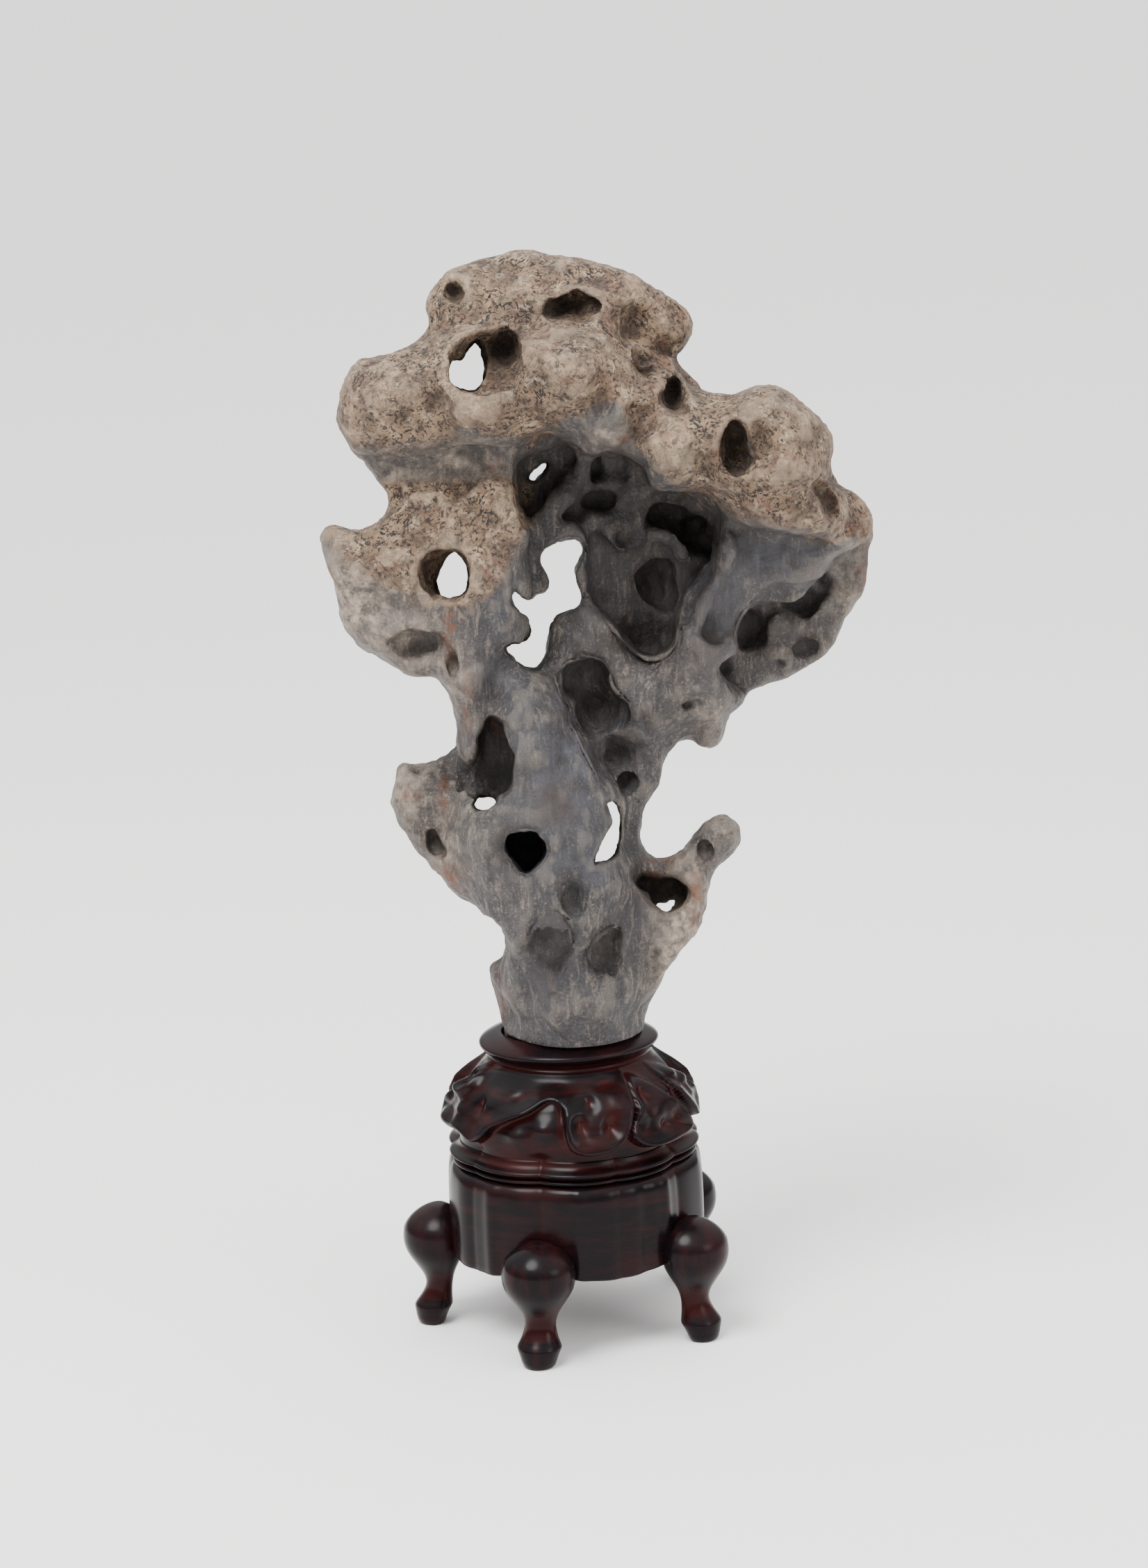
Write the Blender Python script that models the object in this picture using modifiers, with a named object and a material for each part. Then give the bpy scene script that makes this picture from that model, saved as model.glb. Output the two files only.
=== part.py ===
# A scholar's rock standing in the carved top of a five-legged hardwood stand.
# Lengths are in millimetres until MM turns them into metres. Front is -Y.
import math
import random

import bmesh
import bpy
from mathutils import Matrix, Vector
from mathutils.bvhtree import BVHTree

MM = 0.001
GAP = 0.3

# Heights of the stand above the floor.
APRON_BOTTOM = 36.0
APRON_TOP = 81.0
MOULDING_TOP = 92.0
NECK_HEIGHT = 129.0
LIP_EDGE_HEIGHT = 135.0
RIM_HEIGHT = 140.0
SOCKET_FLOOR = 132.0

# Plan sizes of the stand.
APRON_RADIUS = 60.0
APRON_LOBE = 2.6
SKIRT_RADIUS = 53.0
LIP_HALF_WIDTH = 41.5
LIP_HALF_DEPTH = 38.0
SOCKET_HALF_WIDTH = 30.5
SOCKET_HALF_DEPTH = 26.0
HOLLOW_RADIUS = 42.0
HOLLOW_DEPTH = 14.0
ROUND_STEPS = 54

# Legs: bearing from the front, positive to the right, and the turned shape (height, radius).
LEG_RADIUS = 63.5
LEG_BEARINGS = {"leg_front": -16, "leg_right": 56, "leg_back_right": 128, "leg_back_left": 200,
                "leg_left": 272}
LEG_PROFILE = [(0, 6.0), (1.5, 7.5), (8.5, 10.2), (13, 9.0), (19, 7.4), (25, 9.2), (32, 13.8),
               (40, 17.3), (46, 17.0), (52, 13.5), (57.5, 6.0)]
FOOT_FLICK = 5.0

# The sight frame: where the eye of a person looking at the front of the rock stands.
EYE_DISTANCE = 1900.0
EYE_RAISED = math.radians(13.4)
EYE_LEAN = math.radians(2.2)
AIM = Vector((7.0, 0.0, 255.0))
FOOT_TIP = Vector((1.3, -267.2))
STONE_TRIANGLES = 5400

# The rock's outline: (across, up) from the front foot's tip, as the eye sees it.
OUTLINE = [
    (-110, 434), (-107, 447), (-102, 456), (-96, 462), (-91, 459), (-85, 463.5), (-75, 465),
    (-69.5, 471.5), (-63, 474), (-66, 480), (-68, 487), (-63, 496), (-55, 503), (-41, 506),
    (-25, 510.5), (-14, 507), (1.5, 506), (22, 500), (37, 492), (49, 483), (53, 475), (49, 467),
    (42, 463), (47, 456), (55, 448.5), (58, 443.5), (65.5, 445), (69, 440), (74.5, 445),
    (80.5, 448), (93, 447), (103.5, 439), (114, 428.5), (117, 421), (114.5, 413), (118, 403),
    (126.5, 400), (133.5, 392), (136, 383.5), (133.5, 372), (132, 358), (126, 350), (119, 339),
    (115.5, 330), (107, 321), (94, 316), (80, 310), (74, 302), (67.5, 299), (67, 289), (62.5, 282),
    (55.5, 284), (51.5, 290), (47, 289), (43.5, 282), (38.5, 280), (37.5, 266), (31.5, 260),
    (29, 253), (29.5, 246), (29, 239), (35, 233), (46, 236), (54.5, 242), (55.5, 247), (67.5, 255),
    (72.5, 250), (74.5, 244), (71.5, 235), (66.5, 232), (59, 221), (58, 210), (50.5, 195),
    (41, 184), (36.5, 175), (31, 163), (30, 150), (20, 128), (-15, 126), (-32, 140), (-32.5, 155),
    (-35, 167), (-39, 180), (-43, 186.5), (-36.5, 186), (-32, 190), (-32, 201), (-35.5, 205.5),
    (-41, 207.5), (-47.5, 213.5), (-55.5, 218), (-58.5, 223), (-64, 229), (-71, 236), (-78.5, 246),
    (-83, 254.5), (-84.5, 263), (-82, 268), (-83.5, 274), (-81, 277.5), (-70, 274.5), (-63, 279),
    (-56, 281), (-53.5, 289), (-56, 301), (-59, 312), (-65.5, 317.5), (-74.5, 316), (-83, 322),
    (-88, 326), (-97.5, 330), (-106, 338), (-108, 349), (-111, 363), (-116.5, 377), (-116.5, 385),
    (-113, 387), (-107, 383.5), (-100, 381), (-93, 384.5), (-87, 387), (-85.5, 391), (-85.5, 401),
    (-91.5, 405), (-92.5, 412), (-98, 416), (-102.5, 418), (-104.5, 424), (-108.5, 431)]

# Openings right through the rock, read in the same way.
WINDOWS = {
    "crown": [(-46.5, 470), (-43, 466), (-41.5, 458), (-42.5, 450), (-46, 445), (-53.5, 446.5),
              (-59, 450), (-58, 459), (-56, 461), (-52.5, 460), (-50, 465.5)],
    "left_wing": [(-55.5, 374), (-51, 371), (-48.5, 363), (-49.5, 356), (-53.5, 351.5),
                  (-60.5, 350.5), (-64.5, 357), (-62.5, 365), (-60, 371)],
    "heart": [(-3, 380), (2, 378.5), (4, 373.5), (0.5, 364.5), (2, 356.5), (4, 351.5), (1, 346.5),
              (-7.5, 343.5), (-11.5, 338), (-13, 328.5), (-16, 320.5), (-21, 319), (-28, 323),
              (-34, 328.5), (-30.5, 332.5), (-25, 332), (-22, 337), (-23, 342), (-29, 348),
              (-30.5, 354.5), (-29, 361), (-26, 354), (-21.5, 351), (-19, 354.5), (-15, 355),
              (-12.5, 359.5), (-16.5, 365), (-17.5, 371.5), (-12.5, 376)],
    "shadow_slit": [(-21.5, 405.5), (-19, 410), (-14, 413), (-15.5, 409), (-19, 405)],
    "strut": [(12, 260), (17.5, 259.5), (20, 253), (19.5, 242.5), (17, 233.5), (5.5, 229.5),
              (8.5, 235.5), (13, 244.5), (15, 251)],
    "column": [(-48, 258.5), (-41.5, 262), (-35, 259.5), (-39.5, 255), (-45, 255)],
    "ledge": [(45, 302), (49, 304.5), (54, 304.5), (57, 307.5), (56.5, 303.5), (52.5, 301)]}

# Rounded masses: (across, up, toward the eye, half width, half height, half depth, turn in degrees).
MASSES = [
    (-10, 484, -4, 62, 25, 36, 4), (-55, 488, 4, 14, 17, 20, 0), (40, 477, 0, 16, 15, 24, 0),
    (-93, 435, 16, 19, 27, 27, 15), (-73, 443, 20, 27, 24, 34, 0), (-42, 449, 18, 32, 30, 40, 0),
    (-10, 456, 20, 38, 27, 44, 0), (19, 441, 16, 30, 29, 44, -25), (42, 424, 18, 25, 26, 44, -35),
    (82, 421, 24, 34, 28, 40, -12), (94, 395, 20, 30, 16, 34, -10), (122, 376, -4, 13, 26, 28, 8),
    (101, 344, -18, 27, 34, 30, -25), (83, 324, -18, 20, 14, 24, 0), (59, 293, -10, 9, 13, 13, 0),
    (50, 296, -6, 14, 8, 12, 0),
    (38, 372, -26, 52, 52, 32, 0), (20, 322, -8, 44, 44, 38, 0), (54, 322, 4, 18, 30, 24, 10),
    (92, 374, 20, 34, 16, 16, -5), (61, 338, 18, 13, 42, 16, -32), (-66, 406, 4, 32, 30, 32, 0),
    (-38, 408, 2, 30, 30, 30, 0), (-100, 364, 18, 18, 26, 22, 10), (-78, 354, 22, 30, 42, 24, 0),
    (-46, 362, 26, 25, 48, 22, 0), (-34, 389, 28, 17, 16, 20, 0), (-47, 322, 18, 22, 26, 28, 0),
    (-24, 291, 14, 30, 36, 40, 0), (-18, 250, 18, 38, 42, 42, -8), (-10, 217, 20, 38, 34, 38, 0),
    (0, 186, 10, 36, 34, 36, 0), (0, 152, 4, 32, 34, 30, 0), (36, 200, 8, 22, 28, 24, -15),
    (-68, 254, 6, 18, 28, 17, 25), (-50, 234, 8, 22, 18, 22, 0), (27, 266, 3, 12, 22, 14, 0),
    (24, 238, 3, 9, 24, 13, 0), (64, 243, 5, 11, 14, 12, -30), (52, 224, 6, 15, 18, 15, 0),
    (-20, 440, -34, 56, 30, 26, 0), (50, 402, -38, 46, 38, 24, 0), (-30, 356, -24, 40, 40, 24, 0),
    (0, 300, -30, 36, 44, 22, 0), (-14, 240, -24, 34, 46, 22, 0), (4, 180, -18, 30, 36, 20, 0),
    (-18, 402, -26, 32, 24, 18, 0)]
SPINE_FRONT = 9.0
SPINE_BACK = -12.0

# Deep recesses in the front: the depth of the floor toward the eye, and the edge of each.
RECESSES = {
    "under_cap": (-6, [(-35.5, 406), (-35, 414), (-31, 423), (-22, 424), (-8, 429), (-1.5, 427), (7, 420),
                       (12, 426), (22, 422), (34, 415), (36.5, 404.5), (56, 403), (63, 396), (71, 390),
                       (71.5, 380), (67, 366), (56, 350), (52, 338), (48, 322), (40, 316), (30, 318),
                       (18, 330), (5, 345), (2, 352), (2, 366), (4, 377), (0, 384), (-8, 387), (-16, 384),
                       (-22, 378), (-28, 384)]),
    "plate": (20, [(56, 403), (71, 391), (86, 386), (103, 383.5), (122, 381), (122, 360), (100, 345),
                   (72, 332), (60, 326), (52, 330), (58, 350), (68, 366), (71.5, 380)]),
    "waist": (28, [(-125, 419), (-102, 419), (-84, 421), (-61, 420), (-49, 424), (-31, 425), (-33.5, 415),
                  (-36, 406), (-42, 404.5), (-49, 396), (-55.5, 398), (-64, 401.5), (-77.5, 400),
                  (-82, 393), (-89, 386), (-98, 382.5), (-125, 384)]),
    "right_side": (-8, [(122, 378), (117, 368), (110, 363), (100.5, 352), (80, 351.5), (71.5, 344),
                        (68, 332), (70, 325), (58, 320), (62, 313), (76, 302), (150, 290), (150, 378)]),
    "tall_hollow": (-8, [(-43.5, 296.5), (-40, 304), (-35, 299), (-30.5, 296.5), (-26.5, 290.5),
                         (-25.5, 281), (-28.5, 273.5), (-28, 265), (-32.5, 260), (-40, 257), (-47, 258),
                         (-52, 263), (-54, 270), (-52, 275), (-47, 278.5), (-46, 288)]),
    "dark_pit": (-14, [(-36, 243), (-33.5, 246), (-28.5, 246.5), (-22, 248.5), (-17, 248), (-13.5, 244),
                       (-12.5, 238), (-14, 231.5), (-19.5, 227), (-22, 223.5), (-24.5, 224), (-30, 231),
                       (-34, 237)]),
    "spur_cave": (-6, [(20, 225), (30, 227.5), (36, 225), (46, 226), (52, 222), (53, 215), (47, 208),
                       (37.5, 206.5), (32.5, 214), (28, 220)])}
RECESS_TAPER = 0.85

# Ridges left standing: a line of (across, up, toward the eye) and the ridge's radius.
RIDGES = [
    (5.5, [(1, 408, -4), (-8, 397, 2), (-17, 384, 8), (-24, 370, 12), (-25, 361, 12), (-20, 357, 12)]),
    (3.0, [(71, 364, 20), (62, 346, 16), (52, 324, 8)]),
    (4.5, [(8, 388, -4), (20, 376, 0), (34, 381, 2), (45, 380, 2), (50, 370, 0)]),
    (3.5, [(20, 372, -6), (24, 358, -4), (30, 347, -4), (42, 344, -6)]),
    (7.0, [(-26, 293, 40), (-20, 280, 44), (-14, 262, 46), (-8, 244, 44), (-6, 230, 42)]),
    (6.0, [(-8, 292, 38), (0, 276, 42), (7, 262, 42), (8, 246, 40), (2, 232, 40)])]

# Hollows worn into the front: (across, up, half width, half height, depth, turn in degrees).
HOLLOWS = [
    (-3, 483, 12.5, 7, 20, 4), (4, 484, 7, 5, 16, 0), (-55.5, 491, 4.5, 6, 9, 0),
    (-41, 460, 18, 15.5, 26, 0), (-33, 462, 9, 12, 34, 0), (30, 462, 5, 7, 8, -30),
    (44.5, 443.5, 6.5, 8.5, 26, 0), (72, 421, 6, 14, 24, -6), (75, 414, 6, 7, 20, 0),
    (114, 397, 5, 12, 11, 30), (-60, 362, 11, 12.6, 24, 0), (-73, 329, 14, 8.5, 9, -10),
    (-56.5, 321, 2.6, 8, 9, 0), (-14.5, 204, 6.3, 8.5, 10, 10), (-12, 192, 5, 8, 8, 0),
    (-9.7, 179, 9.5, 11.5, 11, 0), (16, 196.5, 6, 6.5, 15, 0), (13, 187, 10.5, 9, 10, 0),
    (-1, 216, 6.2, 9.5, 10, 0), (58.6, 237, 4.5, 4.5, 8, 0), (-65, 240, 5, 6.5, 9, 20),
    (-71.5, 273.5, 5, 2.8, 7, 0), (4, 313, 13, 12, 20, 0), (10, 300, 13.5, 13, 22, 0),
    (23, 267.5, 4.6, 6.5, 10, 0), (36, 358, 9.5, 12, 16, 0), (40, 353, 7, 8, 24, 0),
    (53, 381, 9, 8.5, 24, 0), (60, 374, 7, 7, 16, 0), (42, 389, 10, 7, 13, 0), (10, 396, 9, 6, 10, 0),
    (20, 410, 5, 8, 8, 0), (9, 413, 4, 8, 8, 0), (24, 380, 8, 6, 9, 0), (78, 338.5, 10.5, 10.5, 11, 0),
    (88, 346, 8, 5, 9, 20), (102, 351, 9, 8, 10, 20), (112, 359, 5, 6, 8, 0), (66, 318, 8, 5.5, 8, 0),
    (103, 329, 7, 4.5, 6, 0), (-51, 267.5, 3.5, 7, 6, 0), (92, 322, 4, 4, 6, 0),
    (50, 345, 5, 8, 7, -30)]
BACK_HOLLOWS = 30
FIRST_DRAW = 11


def clear_scene():
    for item in list(bpy.data.objects):
        bpy.data.objects.remove(item, do_unlink=True)


def collection(name):
    made = bpy.data.collections.new(name)
    bpy.context.scene.collection.children.link(made)
    return made


def material(name, colour, roughness):
    made = bpy.data.materials.new(name)
    made.use_nodes = True
    shader = made.node_tree.nodes["Principled BSDF"]
    shader.inputs["Base Color"].default_value = (*colour, 1.0)
    shader.inputs["Roughness"].default_value = roughness
    return made


def new_object(name, form, home):
    mesh = bpy.data.meshes.new(name)
    bmesh.ops.recalc_face_normals(form, faces=form.faces[:])
    form.to_mesh(mesh)
    form.free()
    made = bpy.data.objects.new(name, mesh)
    home.objects.link(made)
    return made


def add_modifier(thing, kind, **settings):
    made = thing.modifiers.new(kind.title(), kind)
    for key, value in settings.items():
        setattr(made, key, value)
    return made


def apply_modifiers(thing):
    bpy.context.view_layer.update()
    graph = bpy.context.evaluated_depsgraph_get()
    mesh = bpy.data.meshes.new_from_object(thing.evaluated_get(graph))
    thing.modifiers.clear()
    thing.data = mesh


def cut(thing, tool, how="DIFFERENCE", solver="EXACT"):
    add_modifier(thing, "BOOLEAN", operation=how, solver=solver, object=tool)
    apply_modifiers(thing)


def carve(thing, tool, how="DIFFERENCE"):
    # The exact solver empties the stone at some of these cuts, so they use the manifold one.
    cut(thing, tool, how, "MANIFOLD")


def dress(thing, finish):
    thing.data.materials.clear()
    thing.data.materials.append(finish)
    thing.data.shade_smooth()


def stack_of_rings(levels, outline):
    # One closed solid from (height, key) levels, where outline(key, angle) is the radius.
    form = bmesh.new()
    loops = []
    for height, key in levels:
        ring = []
        for step in range(ROUND_STEPS):
            angle = 2 * math.pi * step / ROUND_STEPS
            radius = outline(key, height, angle) * MM
            ring.append(form.verts.new((radius * math.sin(angle), -radius * math.cos(angle), height * MM)))
        loops.append([form.edges.new((ring[i - 1], ring[i])) for i in range(ROUND_STEPS)])
    for lower, upper in zip(loops, loops[1:]):
        bmesh.ops.bridge_loops(form, edges=lower + upper)
    bmesh.ops.holes_fill(form, edges=loops[0] + loops[-1], sides=0)
    return form


def smooth_step(value):
    value = min(1.0, max(0.0, value))
    return value * value * (3 - 2 * value)


def oval(half_width, half_depth, angle):
    return 1.0 / math.hypot(math.sin(angle) / half_width, math.cos(angle) / half_depth)


def lobed(radius, lobe, angle):
    # Five faces between the legs, each a shallow double wave that folds in at the legs.
    turn = angle - math.radians(LEG_BEARINGS["leg_front"])
    return radius - lobe + lobe * (0.65 * abs(math.sin(2.5 * turn)) + 0.35 * abs(math.sin(5 * turn)))


# The carved body's plain radius by height, and the flaps that hang over it: how proud each
# one stands and its edge as (bearing in degrees, height).
BODY_LINE = [(92, 52.5), (97, 53.5), (103, 53.5), (109, 52.0), (115, 49.0), (121, 44.5), (126, 39.5),
             (129, 37)]
FLAPS = [
    (4.5, [(-62, 127), (-80, 119), (-93, 109), (-89, 101), (-74, 99), (-62, 100), (-52, 97), (-44, 101),
           (-38, 107), (-22, 114), (-12, 119), (-5, 116), (-3, 104), (0, 98), (8, 95.5), (20, 97.5),
           (27, 104), (33, 115), (35, 122), (34, 131), (0, 133), (-30, 133)]),
    (5.5, [(36, 125), (43, 126), (51, 122), (59, 112), (66, 104), (68, 98), (61, 95), (41, 94.5), (31, 98),
           (27, 104), (32, 113)]),
    (4.0, [(60, 128), (76, 124), (89, 116), (96, 106), (92, 97), (82, 97), (74, 103), (66, 114)]),
    (4.5, [(104, 128), (98, 116), (102, 104), (112, 98), (124, 97), (130, 105), (142, 112), (152, 106),
           (158, 98), (170, 96), (176, 106), (174, 118), (168, 128), (136, 133)]),
    (4.5, [(182, 126), (180, 112), (186, 100), (198, 96), (206, 102), (216, 114), (226, 110), (232, 99),
           (246, 96), (256, 104), (258, 116), (250, 127), (216, 133)])]


def smooth_loop(points, steps=2):
    # A closed curve through the points.
    count = len(points)
    made = []
    for i in range(count):
        p0, p1, p2, p3 = (Vector(points[(i + k) % count]) for k in (-1, 0, 1, 2))
        for step in range(steps):
            t = step / steps
            made.append(0.5 * (2 * p1 + (p2 - p0) * t + (2 * p0 - 5 * p1 + 4 * p2 - p3) * t * t
                               + (3 * p1 - p0 - 3 * p2 + p3) * t ** 3))
    return made


def depth_inside(place, loop):
    # How far a place lies inside a closed line; negative outside it.
    nearest, inside = 1e9, False
    for start, end in zip(loop, loop[1:] + loop[:1]):
        line = end - start
        part = min(1.0, max(0.0, (place - start).dot(line) / max(line.length_squared, 1e-12)))
        nearest = min(nearest, (place - start - line * part).length)
        if (start.y > place.y) != (end.y > place.y):
            if place.x < start.x + line.x * (place.y - start.y) / line.y:
                inside = not inside
    return nearest if inside else -nearest


def flap_loops():
    # The flaps' edges with bearings turned to millimetres along the skirt.
    along_skirt = math.radians(1) * SKIRT_RADIUS
    return [(proud, [Vector((p.x * along_skirt, p.y)) for p in smooth_loop(points)])
            for proud, points in FLAPS]


def proud_at(loops, bearing, height):
    raised = 0.0
    for proud, loop in loops:
        for turn in (-360, 0, 360):
            place = Vector(((bearing + turn) * math.radians(1) * SKIRT_RADIUS, height))
            raised = max(raised, proud * smooth_step((depth_inside(place, loop) + 1.0) / 2.5))
    return raised * (1 - smooth_step((height - 112) / 15.0))


def stand_top(home):
    loops = flap_loops()

    def outline(key, height, angle):
        if height < MOULDING_TOP:
            return lobed(key, APRON_LOBE, angle)
        if height < NECK_HEIGHT + 0.5:
            return key + proud_at(loops, math.degrees(angle), height)
        return key * oval(LIP_HALF_WIDTH, LIP_HALF_DEPTH, angle) / LIP_HALF_WIDTH
    low = APRON_TOP + GAP
    levels = [(low, 54.5), (low + 0.8, 56.5), (84.0, 56.5), (85.5, 54.0), (87.5, 54.5), (89, 57.5),
              (90.7, 57.5), (91.7, 55.5)]
    carved = (92.4, 94.5, 97, 99.5, 102.5, 106, 109.5, 113, 117, 121, 125, 129)
    levels += [(height, body_line(height)) for height in carved]
    levels += [(130.5, 38.5), (LIP_EDGE_HEIGHT - 1.2, 41.3), (LIP_EDGE_HEIGHT + 0.8, 41.3), (138, 37.5),
               (RIM_HEIGHT, 33)]
    return new_object("stand_top", stack_of_rings(levels, outline), home)


def body_line(height):
    for (low, r0), (high, r1) in zip(BODY_LINE, BODY_LINE[1:]):
        if height <= high:
            return r0 + (r1 - r0) * (height - low) / (high - low)
    return BODY_LINE[-1][1]


def oval_plug(name, half_width, half_depth, bottom, top, home):
    form = bmesh.new()
    bmesh.ops.create_cone(form, cap_ends=True, segments=ROUND_STEPS, radius1=1, radius2=1, depth=1)
    size = Matrix.Diagonal((half_width * MM, half_depth * MM, (top - bottom) * MM, 1))
    bmesh.ops.transform(form, matrix=Matrix.Translation((0, 0, (top + bottom) / 2 * MM)) @ size,
                        verts=form.verts[:])
    return new_object(name, form, home)


def apron(home, spare=0.0, name="stand_apron"):
    def outline(key, height, angle):
        return lobed(key, APRON_LOBE, angle) + spare
    levels = [(APRON_BOTTOM - spare, 57.5), (APRON_BOTTOM + 1.5 - spare, APRON_RADIUS),
              (58, APRON_RADIUS + 0.6), (APRON_TOP - 4, APRON_RADIUS), (APRON_TOP - 1.5, 59.0),
              (APRON_TOP, 56.5)]
    return new_object(name, stack_of_rings(levels, outline), home)


def turned_leg(name, bearing, home):
    form = bmesh.new()
    profile = [form.verts.new((0, 0, 0))]
    profile += [form.verts.new((radius * MM, 0, height * MM)) for height, radius in LEG_PROFILE]
    profile.append(form.verts.new((0, 0, 59 * MM)))
    edges = [form.edges.new(pair) for pair in zip(profile, profile[1:])]
    bmesh.ops.spin(form, geom=profile + edges, cent=(0, 0, 0), axis=(0, 0, 1), angle=2 * math.pi,
                   steps=14, use_merge=True)
    bmesh.ops.remove_doubles(form, verts=form.verts[:], dist=0.00005)
    angle = math.radians(bearing)
    outward = Vector((math.sin(angle), -math.cos(angle), 0))
    for vert in form.verts:
        height = vert.co.z / MM
        flick = FOOT_FLICK * (1 - smooth_step(height / 22.0))
        inner = min(vert.co.x, 0.0) * 0.28
        vert.co.x -= inner
        radial = LEG_RADIUS + flick + vert.co.x / MM
        sideways = Vector((math.cos(angle), math.sin(angle), 0)) * vert.co.y
        vert.co = outward * radial * MM + sideways + Vector((0, 0, vert.co.z))
    return new_object(name, form, home)


def eye_frame():
    back = Vector((0, -math.cos(EYE_RAISED), math.sin(EYE_RAISED)))
    above = Vector((0, math.sin(EYE_RAISED), math.cos(EYE_RAISED)))
    return AIM + back * EYE_DISTANCE, above


def seen(across, up, toward):
    # A place on the eye's sight line, at a depth toward the eye from the stand's axis.
    eye, above = eye_frame()
    flat = Vector((across, up)) + FOOT_TIP
    right = flat.x * math.cos(EYE_LEAN) + flat.y * math.sin(EYE_LEAN)
    high = flat.y * math.cos(EYE_LEAN) - flat.x * math.sin(EYE_LEAN)
    line = AIM + Vector((right, 0, 0)) + above * high - eye
    return (eye + line * ((-toward - eye.y) / line.y)) * MM


def sight_prism(name, points, front, back, home, taper=1.0):
    # A flat outline carried away from the eye, its sides along the sight lines.
    form = bmesh.new()
    face = form.faces.new([form.verts.new(seen(p.x, p.y, front)) for p in smooth_loop(points)])
    carried = bmesh.ops.extrude_face_region(form, geom=[face])
    far = [item for item in carried["geom"] if isinstance(item, bmesh.types.BMVert)]
    eye = eye_frame()[0]
    grow = (eye.y + back) / (eye.y + front)
    bmesh.ops.scale(form, vec=(grow, grow, grow), space=Matrix.Translation(-eye * MM), verts=far)
    middle = sum((vert.co for vert in far), Vector()) / len(far)
    bmesh.ops.scale(form, vec=(taper, 1, taper), space=Matrix.Translation(-middle), verts=far)
    bmesh.ops.triangulate(form, faces=form.faces[:])
    return new_object(name, form, home)


def ball(form, centre, halves, turn, detail):
    spin = Matrix.Rotation(math.radians(-turn), 4, "Y")
    size = Matrix.Diagonal((halves[0] * MM, halves[2] * MM, halves[1] * MM, 1))
    bmesh.ops.create_icosphere(form, subdivisions=detail, radius=1.0,
                               matrix=Matrix.Translation(centre) @ spin @ size)


def remesh(thing, size):
    add_modifier(thing, "REMESH", mode="VOXEL", voxel_size=size * MM)
    apply_modifiers(thing)


def soften(thing, factor, times):
    add_modifier(thing, "SMOOTH", factor=factor, iterations=times)
    apply_modifiers(thing)


def largest_piece(thing):
    # Crumbs left by the cuts go, also where they hang on by a single corner.
    form = bmesh.new()
    form.from_mesh(thing.data)
    left = set(form.faces)
    pieces = []
    while left:
        stack = [left.pop()]
        piece = []
        while stack:
            face = stack.pop()
            piece.append(face)
            for edge in face.edges:
                for other in edge.link_faces:
                    if other in left and len(edge.link_faces) == 2:
                        left.remove(other)
                        stack.append(other)
        pieces.append(piece)
    pieces.sort(key=len)
    for piece in pieces[:-1]:
        bmesh.ops.delete(form, geom=piece, context="FACES")
    form.to_mesh(thing.data)
    form.free()


def absorb(thing, other, size):
    # Two overlapping solids become one closed surface.
    form = bmesh.new()
    form.from_mesh(thing.data)
    form.from_mesh(other.data)
    form.to_mesh(thing.data)
    form.free()
    remesh(thing, size)


def stone_body(cutters, home):
    form = bmesh.new()
    for across, up, toward, wide, high, deep, turn in MASSES:
        ball(form, seen(across, up, toward), (wide, high, deep), turn, 4)
    body = new_object("stone", form, home)
    absorb(body, sight_prism("spine", OUTLINE, SPINE_FRONT, SPINE_BACK, cutters), 3.0)
    carve(body, sight_prism("outline_prism", OUTLINE, 120, -120, cutters), "INTERSECT")
    remesh(body, 2.5)
    soften(body, 0.5, 14)
    return body


def hollow_tools(body, cutters):
    tree = BVHTree.FromObject(body, bpy.context.evaluated_depsgraph_get())
    form = bmesh.new()
    for across, up, wide, high, deep, turn in HOLLOWS:
        start, end = seen(across, up, 200), seen(across, up, -200)
        hit = tree.ray_cast(start, (end - start).normalized())[0]
        if hit is not None:
            ball(form, hit, (wide, high, deep), turn, 3)
    draw = random.Random(FIRST_DRAW)
    for _ in range(BACK_HOLLOWS):
        bearing = math.radians(draw.uniform(100, 260))
        height = draw.uniform(170, 480)
        start = Vector((0.4 * math.sin(bearing), -0.4 * math.cos(bearing), height * MM))
        hit = tree.ray_cast(start, (Vector((0.02, 0, height * MM)) - start).normalized())[0]
        if hit is not None:
            wide = draw.uniform(6, 17)
            halves = (wide, wide * draw.uniform(0.6, 1.3), wide * draw.uniform(0.6, 1.0))
            ball(form, hit, halves, draw.uniform(-40, 40), 3)
    return new_object("hollow_tools", form, cutters)


def ridges(cutters):
    form = bmesh.new()
    for radius, line in RIDGES:
        for start, end in zip(line, line[1:]):
            for step in range(4):
                place = Vector(start).lerp(Vector(end), step / 4)
                ball(form, seen(*place), (radius, radius, radius), 0, 2)
    return new_object("ridge_tools", form, cutters)


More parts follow.
